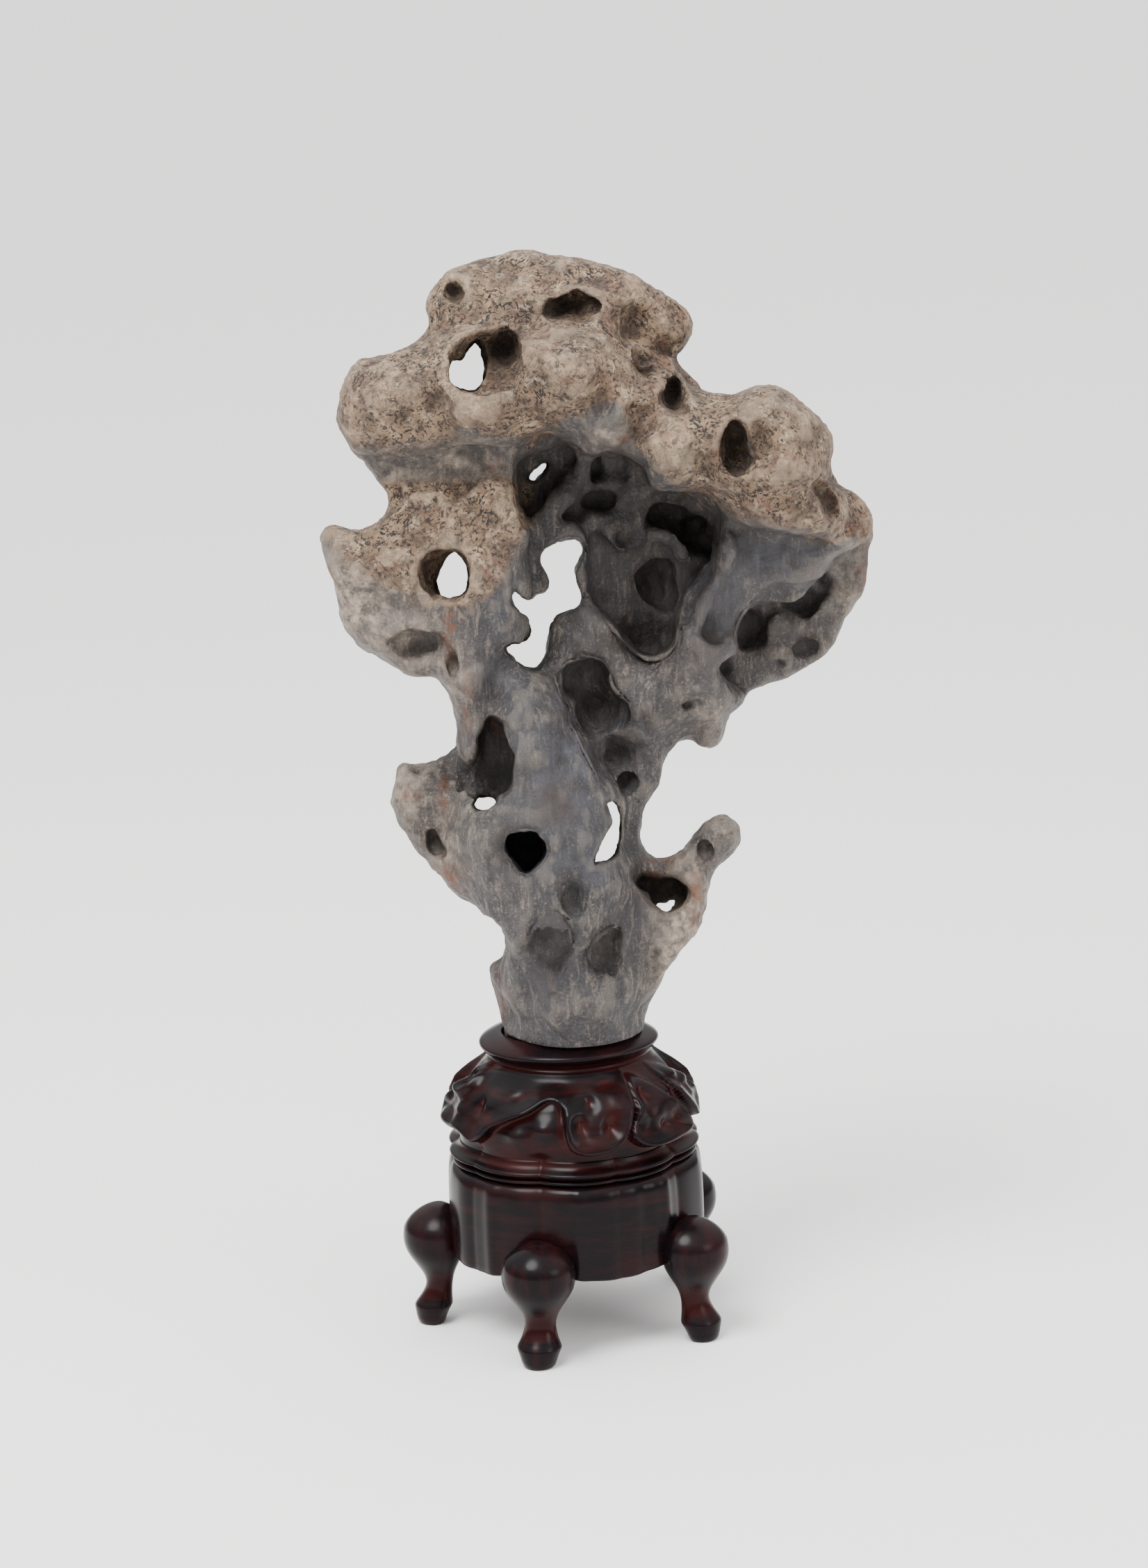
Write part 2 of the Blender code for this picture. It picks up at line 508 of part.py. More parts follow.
def stone(home, cutters):
    body = stone_body(cutters, home)
    for name, (floor, points) in RECESSES.items():
        carve(body, sight_prism("recess_" + name, points, 115, floor, cutters, RECESS_TAPER))
    absorb(body, ridges(cutters), 2.4)
    hollows = hollow_tools(body, cutters)
    remesh(hollows, 2.1)
    carve(body, hollows)
    for name, points in WINDOWS.items():
        carve(body, sight_prism("window_" + name, points, 110, -110, cutters))
    remesh(body, 2.2)
    soften(body, 0.5, 4)
    largest_piece(body)
    triangles = sum(len(face.vertices) - 2 for face in body.data.polygons)
    add_modifier(body, "TRIANGULATE")
    apply_modifiers(body)
    add_modifier(body, "DECIMATE", ratio=STONE_TRIANGLES / triangles)
    apply_modifiers(body)
    seat = oval_plug("seat_block", 150, 150, 0, RIM_HEIGHT + GAP, cutters)
    cut(seat, oval_plug("seat_plug", SOCKET_HALF_WIDTH - GAP, SOCKET_HALF_DEPTH - GAP, -10, 200, cutters))
    carve(body, seat)
    carve(body, oval_plug("seat_floor", 150, 150, 0, SOCKET_FLOOR + GAP, cutters))
    largest_piece(body)
    return body


def build():
    clear_scene()
    home = collection("scholars_rock")
    cutters = collection("cutters")
    rock = material("weathered grey limestone", (0.28, 0.26, 0.24), 0.7)
    dark_wood = material("dark lacquered hardwood", (0.05, 0.018, 0.015), 0.32)
    top = stand_top(home)
    cut(top, oval_plug("socket", SOCKET_HALF_WIDTH, SOCKET_HALF_DEPTH, SOCKET_FLOOR, 160, cutters))
    dress(top, dark_wood)
    drum = apron(home)
    grown = apron(cutters, GAP, "apron_room")
    ceiling = APRON_BOTTOM + HOLLOW_DEPTH
    cut(drum, oval_plug("drum_hollow", HOLLOW_RADIUS, HOLLOW_RADIUS, 20, ceiling, cutters))
    dress(drum, dark_wood)
    for name, bearing in LEG_BEARINGS.items():
        leg = turned_leg(name, bearing, home)
        cut(leg, grown)
        dress(leg, dark_wood)
    dress(stone(home, cutters), rock)
    for tool in cutters.objects:
        tool.hide_render = True
        tool.display_type = "WIRE"
    root = bpy.data.objects.new("scholars_rock_root", None)
    solids = list(home.objects)
    home.objects.link(root)
    corners = [item.matrix_world @ vert.co for item in solids for vert in item.data.vertices]
    for axis in (0, 1):
        values = [corner[axis] for corner in corners]
        root.location[axis] = -(min(values) + max(values)) / 2
    for item in solids:
        item.parent = root
    bpy.context.view_layer.update()


build()
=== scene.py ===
import math
import random

import bpy
import numpy as np
from mathutils import Matrix, Vector, noise
from mathutils.bvhtree import BVHTree


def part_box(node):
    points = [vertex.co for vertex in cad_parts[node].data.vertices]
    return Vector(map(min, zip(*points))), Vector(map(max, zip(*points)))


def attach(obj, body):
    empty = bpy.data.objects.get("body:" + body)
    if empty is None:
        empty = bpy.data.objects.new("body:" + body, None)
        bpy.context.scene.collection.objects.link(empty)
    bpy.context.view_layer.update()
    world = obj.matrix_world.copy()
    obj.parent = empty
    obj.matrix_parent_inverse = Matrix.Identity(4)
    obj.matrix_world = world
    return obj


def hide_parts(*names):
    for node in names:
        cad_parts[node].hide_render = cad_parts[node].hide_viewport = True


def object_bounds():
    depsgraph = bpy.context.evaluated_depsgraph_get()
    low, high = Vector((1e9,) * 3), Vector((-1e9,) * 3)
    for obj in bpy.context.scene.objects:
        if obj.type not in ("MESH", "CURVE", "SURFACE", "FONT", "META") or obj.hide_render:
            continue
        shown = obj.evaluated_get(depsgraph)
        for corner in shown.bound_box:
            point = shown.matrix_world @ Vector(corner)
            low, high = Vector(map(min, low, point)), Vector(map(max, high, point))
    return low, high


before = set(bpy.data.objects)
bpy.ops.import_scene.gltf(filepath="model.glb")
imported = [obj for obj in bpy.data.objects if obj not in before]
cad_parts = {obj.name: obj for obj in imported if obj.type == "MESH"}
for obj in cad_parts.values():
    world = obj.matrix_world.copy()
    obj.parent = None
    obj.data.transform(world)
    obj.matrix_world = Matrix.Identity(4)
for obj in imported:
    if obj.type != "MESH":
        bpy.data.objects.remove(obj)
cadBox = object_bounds()
mm = 0.001

# Where the viewer stands, and how the places below were read from there.
# Places are (across, up) in mm from the tip of the front foot, as the eye sees them.
view = {
    "distance": 1900.0,
    "raisedDeg": 13.4,
    "leanDeg": 2.2,
    "aim": (7.0, 0.0, 255.0),
    "footTip": (1.3, -267.2),
    "lens": 95.9,
}


def allOff():
    if bpy.context.object and bpy.context.object.mode != "OBJECT":
        bpy.ops.object.mode_set(mode="OBJECT")
    bpy.ops.object.select_all(action="DESELECT")


def pick(thing):
    allOff()
    thing.select_set(True)
    bpy.context.view_layer.objects.active = thing


def applyModifier(thing, kind, **settings):
    pick(thing)
    made = thing.modifiers.new(kind.title(), kind)
    for key, value in settings.items():
        setattr(made, key, value)
    bpy.ops.object.modifier_apply(modifier=made.name)


def axisOfStand():
    # The middle of the five legs is the stand's axis.
    legs = ["leg_front", "leg_right", "leg_back_right", "leg_back_left", "leg_left"]
    middles = [(Vector(low) + Vector(high)) / 2 for low, high in (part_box(leg) for leg in legs)]
    middle = sum(middles, Vector()) / len(middles)
    return Vector((middle.x, middle.y, 0.0))


standAxis = axisOfStand()


def eyeFrame():
    raised = math.radians(view["raisedDeg"])
    back = Vector((0, -math.cos(raised), math.sin(raised)))
    above = Vector((0, math.sin(raised), math.cos(raised)))
    aim = Vector(view["aim"])
    return aim, aim + back * view["distance"], back, above


def seen(across, up, toward):
    # The place at a depth toward the eye from the stand's axis, in the frame's metres.
    aim, eye, _, above = eyeFrame()
    lean = math.radians(view["leanDeg"])
    flatX, flatY = across + view["footTip"][0], up + view["footTip"][1]
    right = flatX * math.cos(lean) + flatY * math.sin(lean)
    high = flatY * math.cos(lean) - flatX * math.sin(lean)
    line = aim + Vector((right, 0, 0)) + above * high - eye
    return standAxis + (eye + line * ((-toward - eye.y) / line.y)) * mm


def eyePlace():
    return standAxis + eyeFrame()[1] * mm


def asSeen(places):
    # The other way: (across, up) for an array of places.
    _, eye, back, above = eyeFrame()
    line = (places - np.array(standAxis)) / mm - np.array(eye)
    depth = -line @ np.array(back)
    right = line[:, 0] * view["distance"] / depth
    high = line @ np.array(above) * view["distance"] / depth
    lean = math.radians(view["leanDeg"])
    across = right * math.cos(lean) - high * math.sin(lean) - view["footTip"][0]
    up = high * math.cos(lean) + right * math.sin(lean) - view["footTip"][1]
    return across, up


# Colour and nodes
def shade(code):
    values = [int(code[i:i + 2], 16) / 255 for i in (1, 3, 5)]
    return tuple(v / 12.92 if v <= 0.04045 else ((v + 0.055) / 1.055) ** 2.4 for v in values) + (1.0,)


def addNode(tree, kind, links=(), sockets=None, stops=(), **settings):
    made = tree.nodes.new(kind)
    for key, value in settings.items():
        setattr(made, key, value)
    for key, value in (sockets or {}).items():
        made.inputs[key].default_value = value
    for output, key in links:
        tree.links.new(output, made.inputs[key])
    for i, (place, colour) in enumerate(stops):
        ramp = made.color_ramp.elements
        stop = ramp[i] if i < 2 else ramp.new(place)
        stop.position = place
        stop.color = shade(colour)
    return made


def newMaterial(name):
    made = bpy.data.materials.new(name)
    made.use_nodes = True
    return made, made.node_tree, made.node_tree.nodes["Principled BSDF"]


# Reading and moving a mesh's points in bulk
def pointsOf(mesh):
    places = np.empty(len(mesh.vertices) * 3)
    mesh.vertices.foreach_get("co", places)
    return places.reshape(-1, 3)


def normalsOf(mesh):
    normals = np.empty(len(mesh.vertices) * 3)
    mesh.vertices.foreach_get("normal", normals)
    return normals.reshape(-1, 3)


def putPoints(mesh, places):
    mesh.vertices.foreach_set("co", places.ravel())
    mesh.update()


def smoothStep(values, low, high):
    t = np.clip((values - low) / (high - low), 0, 1)
    return t * t * (3 - 2 * t)


def spread(values, edges, count, times):
    # Each point takes the mean of its neighbours, many times over.
    ends = np.concatenate([edges[:, 0], edges[:, 1]])
    others = np.concatenate([edges[:, 1], edges[:, 0]])
    share = np.maximum(np.bincount(ends, minlength=count), 1)
    for _ in range(times):
        values = np.stack([np.bincount(ends, values[others, k], count) / share
                           for k in range(values.shape[1])], axis=1)
    return values


def hollowness(mesh, times):
    # In mm: above nought in a hollow, below it on a ridge.
    edges = np.empty(len(mesh.edges) * 2, dtype=np.int32)
    mesh.edges.foreach_get("vertices", edges)
    places = pointsOf(mesh)
    smooth = spread(places, edges.reshape(-1, 2), len(places), times)
    return np.einsum("ij,ij->i", smooth - places, normalsOf(mesh)) / mm


def keepMap(mesh, name, values):
    made = mesh.attributes.new(name, "FLOAT", "POINT")
    made.data.foreach_set("value", np.asarray(values, dtype=np.float32))


def noiseMap(places, size, shift=0.0):
    away = Vector((shift, shift * 0.7, -shift))
    return np.array([noise.noise(Vector(place) / (size * mm) + away) for place in places])


# The rock
rock = {
    # Remeshing steps in mm, coarse to fine, and how often each surface is smoothed.
    "roughVoxel": 2.6,
    "formVoxel": 2.2,
    "carveVoxel": 1.9,
    "toolVoxel": 1.7,
    "fineVoxel": 1.5,
    "softForm": 18,
    "softCarve": 6,
    "softRidge": 2,
    "mostTriangles": 196000,
    "spineFront": 9.0,
    "spineBack": -12.0,
    "backHollows": 30,
    "backHollowDraw": 11,
    "backBearings": (100, 260),
    "backHeights": (170, 480),
    "backWidths": (6, 17),
    # How far toward the eye the cutting outlines start.
    "outlineReach": 120,
    "recessReach": 115,
    "windowReach": 110,
    "recessTaper": 0.85,
    "ridgeSteps": 5,
    "dentPush": 1.6,
    "seatGap": 0.5,
    "plugHalfWidth": 29.8,
    "plugHalfDepth": 25.3,
    "insideBox": 0.1,
    "outline": [
        (-110, 434), (-107, 447), (-102, 456), (-96, 462), (-91, 459), (-85, 463.5), (-75, 465),
        (-69.5, 471.5), (-63, 474), (-66, 480), (-68, 487), (-63, 496), (-55, 503), (-41, 506),
        (-25, 510.5), (-14, 507), (1.5, 506), (22, 500), (37, 492), (49, 483), (53, 475), (49, 467),
        (42, 463), (47, 456), (55, 448.5), (58, 443.5), (65.5, 445), (69, 440), (74.5, 445),
        (80.5, 448), (93, 447), (103.5, 439), (114, 428.5), (117, 421), (114.5, 413), (118, 403),
        (126.5, 400), (133.5, 392), (136, 383.5), (133.5, 372), (132, 358), (126, 350), (119, 339),
        (115.5, 330), (107, 321), (94, 316), (80, 310), (74, 302), (67.5, 299), (67, 289),
        (62.5, 282), (55.5, 284), (51.5, 290), (47, 289), (43.5, 282), (38.5, 280), (37.5, 266),
        (31.5, 260), (29, 253), (29.5, 246), (29, 239), (35, 233), (46, 236), (54.5, 242),
        (55.5, 247), (67.5, 255), (72.5, 250), (74.5, 244), (71.5, 235), (66.5, 232), (59, 221),
        (58, 210), (50.5, 195), (41, 184), (36.5, 175), (31, 163), (30, 150), (20, 128), (-15, 126),
        (-32, 140), (-32.5, 155), (-35, 167), (-39, 180), (-43, 186.5), (-36.5, 186), (-32, 190),
        (-32, 201), (-35.5, 205.5), (-41, 207.5), (-47.5, 213.5), (-55.5, 218), (-58.5, 223),
        (-64, 229), (-71, 236), (-78.5, 246), (-83, 254.5), (-84.5, 263), (-82, 268), (-83.5, 274),
        (-81, 277.5), (-70, 274.5), (-63, 279), (-56, 281), (-53.5, 289), (-56, 301), (-59, 312),
        (-65.5, 317.5), (-74.5, 316), (-83, 322), (-88, 326), (-97.5, 330), (-106, 338),
        (-108, 349), (-111, 363), (-116.5, 377), (-116.5, 385), (-113, 387), (-107, 383.5),
        (-100, 381), (-93, 384.5), (-87, 387), (-85.5, 391), (-85.5, 401), (-91.5, 405),
        (-92.5, 412), (-98, 416), (-102.5, 418), (-104.5, 424), (-108.5, 431)],
    # Openings right through.
    "windows": {
        "crown": [(-46.5, 470), (-43, 466), (-41.5, 458), (-42.5, 450), (-46, 445), (-53.5, 446.5),
                  (-59, 450), (-58, 459), (-56, 461), (-52.5, 460), (-50, 465.5)],
        "leftWing": [(-55.5, 374), (-51, 371), (-48.5, 363), (-49.5, 356), (-53.5, 351.5),
                     (-60.5, 350.5), (-64.5, 357), (-62.5, 365), (-60, 371)],
        "heart": [(-3, 380), (2, 378.5), (4, 373.5), (0.5, 364.5), (2, 356.5), (4, 351.5),
                  (1, 346.5), (-7.5, 343.5), (-11.5, 338), (-13, 328.5), (-16, 320.5), (-21, 319),
                  (-28, 323), (-34, 328.5), (-30.5, 332.5), (-25, 332), (-22, 337), (-23, 342),
                  (-29, 348), (-30.5, 354.5), (-29, 361), (-26, 354), (-21.5, 351), (-19, 354.5),
                  (-15, 355), (-12.5, 359.5), (-16.5, 365), (-17.5, 371.5), (-12.5, 376)],
        "slit": [(-23, 405), (-20, 410), (-15, 414.5), (-12.5, 414), (-14.5, 408.5), (-18.5, 404.5)],
        "strut": [(12, 260), (17.5, 259.5), (20, 253), (19.5, 242.5), (17, 233.5), (5.5, 229.5),
                  (8.5, 235.5), (13, 244.5), (15, 251)],
        "column": [(-48, 258.5), (-41.5, 262), (-35, 259.5), (-39.5, 255), (-45, 255)],
        "ledge": [(45, 302), (49, 304.5), (54, 304.5), (57, 307.5), (56.5, 303.5), (52.5, 301)],
    },
    # Deep recesses worn in from the front: how far toward the eye the floor is, and the edge.
    "recesses": {
        "underCap": (-6, [(-35.5, 406), (-35, 414), (-31, 423), (-22, 424), (-8, 429), (-1.5, 427),
                          (7, 420), (12, 426), (22, 422), (34, 415), (36.5, 404.5), (56, 403),
                          (63, 396), (71, 390), (71.5, 380), (67, 366), (56, 350), (52, 338),
                          (48, 322), (40, 316), (30, 318), (18, 330), (5, 345), (2, 352), (2, 366),
                          (4, 377), (0, 384), (-8, 387), (-16, 384), (-22, 378), (-28, 384)]),
        "plate": (20, [(56, 403), (71, 391), (86, 386), (103, 383.5), (122, 381), (122, 360),
                       (100, 345), (72, 332), (60, 326), (52, 330), (58, 350), (68, 366),
                       (71.5, 380)]),
        "waist": (28, [(-125, 419), (-102, 419), (-84, 421), (-61, 420), (-49, 424), (-31, 425),
                      (-33.5, 415), (-36, 406), (-42, 404.5), (-49, 396), (-55.5, 398),
                      (-64, 401.5), (-77.5, 400), (-82, 393), (-89, 386), (-98, 382.5),
                      (-125, 384)]),
        "rightSide": (-8, [(122, 378), (117, 368), (110, 363), (100.5, 352), (80, 351.5),
                           (71.5, 344), (68, 332), (70, 325), (58, 320), (62, 313), (76, 302),
                           (150, 290), (150, 378)]),
        "tallHollow": (12, [(-43.5, 296.5), (-40, 304), (-35, 299), (-30.5, 296.5), (-26.5, 290.5),
                            (-25.5, 281), (-28.5, 273.5), (-28, 265), (-32.5, 260), (-40, 257),
                            (-47, 258), (-52, 263), (-54, 270), (-52, 275), (-47, 278.5),
                            (-46, 288)]),
        "darkPit": (18, [(-36, 243), (-33.5, 246), (-28.5, 246.5), (-22, 248.5), (-17, 248),
                          (-13.5, 244), (-12.5, 238), (-14, 231.5), (-19.5, 227), (-22, 223.5),
                          (-24.5, 224), (-30, 231), (-34, 237)]),
        "spurCave": (-6, [(20, 225), (30, 227.5), (36, 225), (46, 226), (52, 222), (53, 215),
                          (47, 208), (37.5, 206.5), (32.5, 214), (28, 220)]),
    },
    # Rounded masses: across, up, toward the eye, half width, half height, half depth, turn in degrees.
    "masses": [
        (-10, 484, -4, 62, 25, 36, 4), (-55, 488, 4, 14, 17, 20, 0), (40, 477, 0, 16, 15, 24, 0),
        (-93, 435, 16, 19, 27, 27, 15), (-73, 443, 20, 27, 24, 34, 0), (-42, 449, 18, 32, 30, 40, 0),
        (-10, 456, 20, 38, 27, 44, 0), (19, 441, 16, 30, 29, 44, -25), (42, 424, 18, 25, 26, 44, -35),
        (82, 421, 24, 34, 28, 40, -12), (94, 395, 20, 30, 16, 34, -10), (122, 376, -4, 13, 26, 28, 8),
        (101, 344, -18, 27, 34, 30, -25), (83, 324, -18, 20, 14, 24, 0), (59, 293, -10, 9, 13, 13, 0),
        (50, 296, -6, 14, 8, 12, 0), (38, 372, -26, 52, 52, 32, 0), (20, 322, -8, 44, 44, 38, 0),
        (54, 322, 4, 18, 30, 24, 10), (92, 374, 20, 34, 16, 16, -5), (61, 338, 18, 13, 42, 16, -32),
        (-66, 406, 4, 32, 30, 32, 0), (-38, 408, 2, 30, 30, 30, 0), (-100, 364, 18, 18, 26, 22, 10),
        (-78, 354, 22, 30, 42, 24, 0), (-46, 362, 26, 25, 48, 22, 0), (-34, 389, 28, 17, 16, 20, 0),
        (-47, 322, 18, 22, 26, 28, 0), (-24, 291, 14, 30, 36, 40, 0), (-18, 250, 18, 38, 42, 42, -8),
        (-10, 217, 20, 38, 34, 38, 0), (0, 186, 10, 36, 34, 36, 0), (0, 152, 4, 32, 34, 30, 0),
        (36, 200, 8, 22, 28, 24, -15), (-68, 254, 6, 18, 28, 17, 25), (-50, 234, 8, 22, 18, 22, 0),
        (27, 266, 3, 12, 22, 14, 0), (24, 238, 3, 9, 24, 13, 0), (64, 243, 5, 11, 14, 12, -30),
        (52, 224, 6, 15, 18, 15, 0), (-20, 440, -34, 56, 30, 26, 0), (50, 402, -38, 46, 38, 24, 0),
        (-30, 356, -24, 40, 40, 24, 0), (0, 300, -30, 36, 44, 22, 0), (-14, 240, -24, 34, 46, 22, 0),
        (4, 180, -18, 30, 36, 20, 0), (-18, 402, -26, 32, 24, 18, 0)],
    # Ridges left standing: a radius and a line of (across, up, toward the eye).
    "ridges": [
        (5.5, [(1, 408, -4), (-8, 397, 2), (-17, 384, 8), (-24, 370, 12), (-25, 361, 12), (-20, 357, 12)]),
        (2.6, [(71, 364, 20), (62, 346, 16), (52, 324, 8)]),
        (4.2, [(8, 388, -4), (20, 376, 0), (34, 381, 2), (45, 380, 2), (50, 370, 0)]),
        (7.0, [(-26, 293, 40), (-20, 280, 44), (-14, 262, 46), (-8, 244, 44), (-6, 230, 42)]),
        (6.0, [(-8, 292, 38), (0, 276, 42), (7, 262, 42), (8, 246, 40), (2, 232, 40)]),
        (2.8, [(-1, 425, 6), (3, 412, 0), (6, 402, -4), (18, 397, -6), (30, 399, -5), (38, 405, -1)]),
        (2.6, [(18, 424, 8), (17, 414, 0), (22, 404, -4), (27, 397, -6)]),
        (2.8, [(4, 384, -2), (14, 389, -5), (26, 387, -6), (36, 391, -5), (46, 396, 0)]),
        (3.0, [(-6, 344, 12), (-4, 334, 14), (4, 328, 16), (16, 330, 14), (24, 322, 18)]),
        (3.4, [(82, 353, -3), (90, 342, -7), (88, 330, -8), (96, 321, -5)]),
        (3.0, [(112, 350, -5), (104, 341, -8), (94, 338, -8)])],
    # Smaller hollows: across, up, half width, half height, how deep, turn in degrees.
    "hollows": [
        (-3, 483, 12.5, 7, 20, 4), (4, 484, 7, 5, 16, 0), (-55.5, 491, 4.5, 6, 9, 0),
        (-41, 460, 18, 15.5, 26, 0), (-33, 462, 9, 12, 34, 0), (30, 462, 5, 7, 8, -30),
        (44.5, 443.5, 6.5, 8.5, 26, 0), (72, 421, 6, 14, 24, -6), (75, 414, 6, 7, 20, 0),
        (114, 397, 5, 12, 11, 30), (-60, 362, 11, 12.6, 24, 0), (-73, 329, 14, 8.5, 9, -10),
        (-56.5, 321, 2.6, 8, 9, 0), (-12, 190, 10.5, 21.5, 8, 0), (14, 191, 10.5, 12.5, 6, 0),
        (16.5, 197, 6, 5.5, 10, 0), (-1, 216, 7, 11, 6, 0), (58.6, 237, 4.5, 4.5, 8, 0),
        (-65, 240, 5, 6.5, 9, 20), (-71.5, 273.5, 5, 2.8, 7, 0), (4, 313, 13, 12, 20, 0),
        (10, 300, 13.5, 13, 22, 0), (23, 267.5, 4.6, 6.5, 10, 0), (36, 358, 9.5, 12, 16, 0),
        (40, 353, 7, 9, 10, 0), (53, 381, 9, 8.5, 18, 0), (60, 374, 7, 7, 16, 0),
        (42, 389, 10, 7, 13, 0), (10, 396, 9, 6, 10, 0), (20, 410, 5, 8, 8, 0), (9, 413, 4, 8, 8, 0),
        (24, 380, 8, 6, 9, 0), (78, 338.5, 10.5, 10.5, 11, 0), (88, 346, 8, 5, 9, 20),
        (102, 351, 9, 8, 10, 20), (112, 359, 5, 6, 8, 0), (66, 318, 8, 5.5, 8, 0),
        (103, 329, 7, 4.5, 6, 0), (-51, 267.5, 3.5, 7, 6, 0), (92, 322, 4, 4, 6, 0),
        (50, 345, 5, 8, 7, -30)],
    # Soft dents, and swellings below nought: across, up, half width, half height, how deep, turn.
    "dents": [
        (-22, 474, 11, 7, 5, 30), (22, 471, 7, 11, 6, -35), (35, 459, 8, 13, 8, -35),
        (-76, 430, 11, 9, 5, 0), (-64, 440, 7, 8, 3.5, 0), (-2, 459, 20, 16, -6, 0),
        (-44, 437, 16, 6, -3.5, 0), (46, 422, 13, 14, -3.5, 0), (28, 431, 6, 13, 5.5, -30),
        (84, 421, 8, 9, 5.5, 0), (93, 411, 13, 9, -3.5, 0), (88, 436, 14, 8, -3, 0),
        (10, 498, 16, 5, 2.5, -8), (-92, 446, 10, 10, -3, 0), (-20, 444, 8, 9, 3.5, 20),
        (12, 446, 6, 12, 2.5, -20), (-45, 388, 9, 9, 3, 30), (-78, 372, 14, 8, -3, 0),
        (-88, 350, 12, 8, 4, -20), (-38, 307, 7, 10, 5, 0), (29, 329, 16, 12, 8, 0),
        (16, 282, 9, 9, 6, 0), (22, 209, 8, 8, 4, 0), (-36, 322, 9, 9, 4, 0),
        (-30, 210, 14, 10, 2.5, 0), (0, 158, 22, 10, -2, 0), (30, 180, 9, 20, 3, -25),
        (-46, 236, 8, 16, -3, 15), (-68, 250, 8, 12, 2.5, 20), (6, 240, 10, 12, -3, 0),
        (-24, 165, 7, 14, 2.5, 0), (60, 412, 10, 6, 3, 0), (-12, 190, 13, 21, 5, 0),
        (14, 191, 14, 16, 4.5, 0), (-1, 216, 10, 13, 3, 0), (-25, 236, 14, 16, 3, 0),
        (8, 306, 22, 24, 5, 0), (36, 358, 16, 18, 4, 0), (78, 338, 15, 15, 3, 0),
        (-98, 412, 12, 6, 2, 0), (108, 420, 8, 9, 3, 0), (-50, 470, 9, 5, -2.5, 20),
        (46, 482, 8, 10, 3.5, 0)],
    # Lower edge of the tan cap, and of the tan on the left wing.
    "capEdge": [(-125, 432), (-110, 430), (-103, 419), (-84, 420), (-67, 422), (-52, 428), (-32, 425),
                (-22, 423), (-13, 428), (-1, 436), (12, 439), (21, 437), (27, 422), (35, 412),
                (48, 402), (60, 398), (71, 391), (88, 386), (105, 381), (125, 380), (145, 366)],
    "wingEdge": [(-125, 386), (-116, 382), (-106, 371), (-89, 357), (-74, 350), (-55, 346),
                 (-42, 352), (-32, 366), (-24, 380), (-18, 388)],
    # Stains, some of them partly painted shade: across, up, half width, half height, strength.
    "rust": [
        (-58, 337, 2.5, 10, 1), (-60.5, 265, 2, 13, 0.8), (-50, 303, 2.5, 14, 0.6),
        (54, 214, 3, 13, 0.8), (22, 423, 3, 4, 0.7), (-37, 409, 3, 5, 0.6), (135, 362, 4.5, 16, 1.2),
        (127, 384, 7, 4, 0.6), (-60, 226, 8, 6, 1.2), (-36, 165, 3, 13, 1.1), (-83, 322, 5, 3, 0.5),
        (-76, 262, 4, 3, 0.6), (-112, 365, 3, 9, 0.5), (36, 226, 6, 3, 0.5), (-64, 300, 2.5, 9, 0.5),
        (44, 232, 14, 2.5, 0.4), (-37, 293, 2, 4, 0.5)],
    # Darker brown patches set on the hollows: partly brown staining, partly painted shade.
    "umberAndShade": [
        (7, 308, 18, 20, 0.7), (-12, 190, 9, 19, 0.5), (14, 191, 10, 12, 0.5), (17, 197, 6, 5, 0.8),
        (58, 325, 24, 12, 0.7), (96, 336, 22, 16, 0.6), (14, 335, 16, 10, 0.6), (36, 296, 12, 10, 0.4),
        (-11, 257, 9, 10, 1.3), (36, 358, 10, 9, 1.0), (38, 216, 12, 8, 0.8), (-40, 285, 7, 14, 0.7),
        (30, 328, 15, 10, 0.5), (77, 338, 12, 10, 0.5), (-3, 483, 12, 7, 1.0), (-36, 461, 13, 14, 1.0),
        (74, 420, 8, 14, 0.9), (114, 398, 7, 12, 0.6), (44, 444, 7, 9, 0.9), (-60, 362, 11, 12, 0.5),
        (-56, 490, 5, 6, 0.7), (34, 458, 6, 12, 0.4)],
    "slate": [
        (93, 370, 26, 13, 1), (64, 348, 15, 24, 1.0), (-30, 345, 9, 22, 0.6), (-25, 305, 11, 16, 0.8),
        (-8, 262, 20, 40, 1.2), (4, 236, 14, 18, 1.1), (-4, 152, 26, 14, 0.5), (-97, 405, 9, 16, 0.8),
        (-12, 184, 14, 24, 0.7), (-5, 184, 12, 13, 0.6), (28, 204, 9, 11, 0.5), (-40, 318, 12, 12, 0.7),
        (5, 360, 5, 22, 0.8), (-20, 285, 14, 18, 0.8), (22, 290, 14, 16, 0.6), (8, 428, 12, 6, 0.6)],
    # The darkest tone, under the cap and in recesses: partly the stone's own dark colour, partly painted
    # shade.
    "darkToneAndShade": [
        (12, 356, 12, 26, 0.65), (60, 346, 14, 22, 0.45), (53, 381, 17, 12, 1.3),
        (34, 380, 36, 26, 0.75), (5, 404, 22, 18, 0.7), (36, 350, 20, 14, 0.6), (14, 398, 22, 12, 1.2),
        (40, 366, 12, 11, 0.9), (-33, 236, 12, 14, 0.6), (16, 415, 14, 8, 1.0), (30, 345, 14, 8, 0.4),
        (-28, 272, 7, 9, 0.7), (-10, 408, 9, 10, 0.7), (86, 342, 10, 8, 0.5), (24, 276, 7, 8, 0.6),
        (112, 354, 6, 7, 0.5)],
    "cream": [
        (-103, 352, 18, 20, 1.3), (-84, 335, 16, 10, 0.8), (-78, 268, 12, 20, 0.6),
        (50, 190, 11, 30, 1.8), (60, 214, 8, 10, 1.0), (68, 248, 8, 10, 0.6), (14, 425, 10, 6, 0.8),
        (-62, 240, 12, 22, 0.4), (-68, 322, 18, 8, 0.5), (-56, 312, 8, 16, 0.6),
        (125, 350, 10, 26, 0.5), (62, 294, 9, 10, 0.5), (-80, 405, 16, 12, 0.6),
        (-50, 412, 16, 10, 0.7)],
}


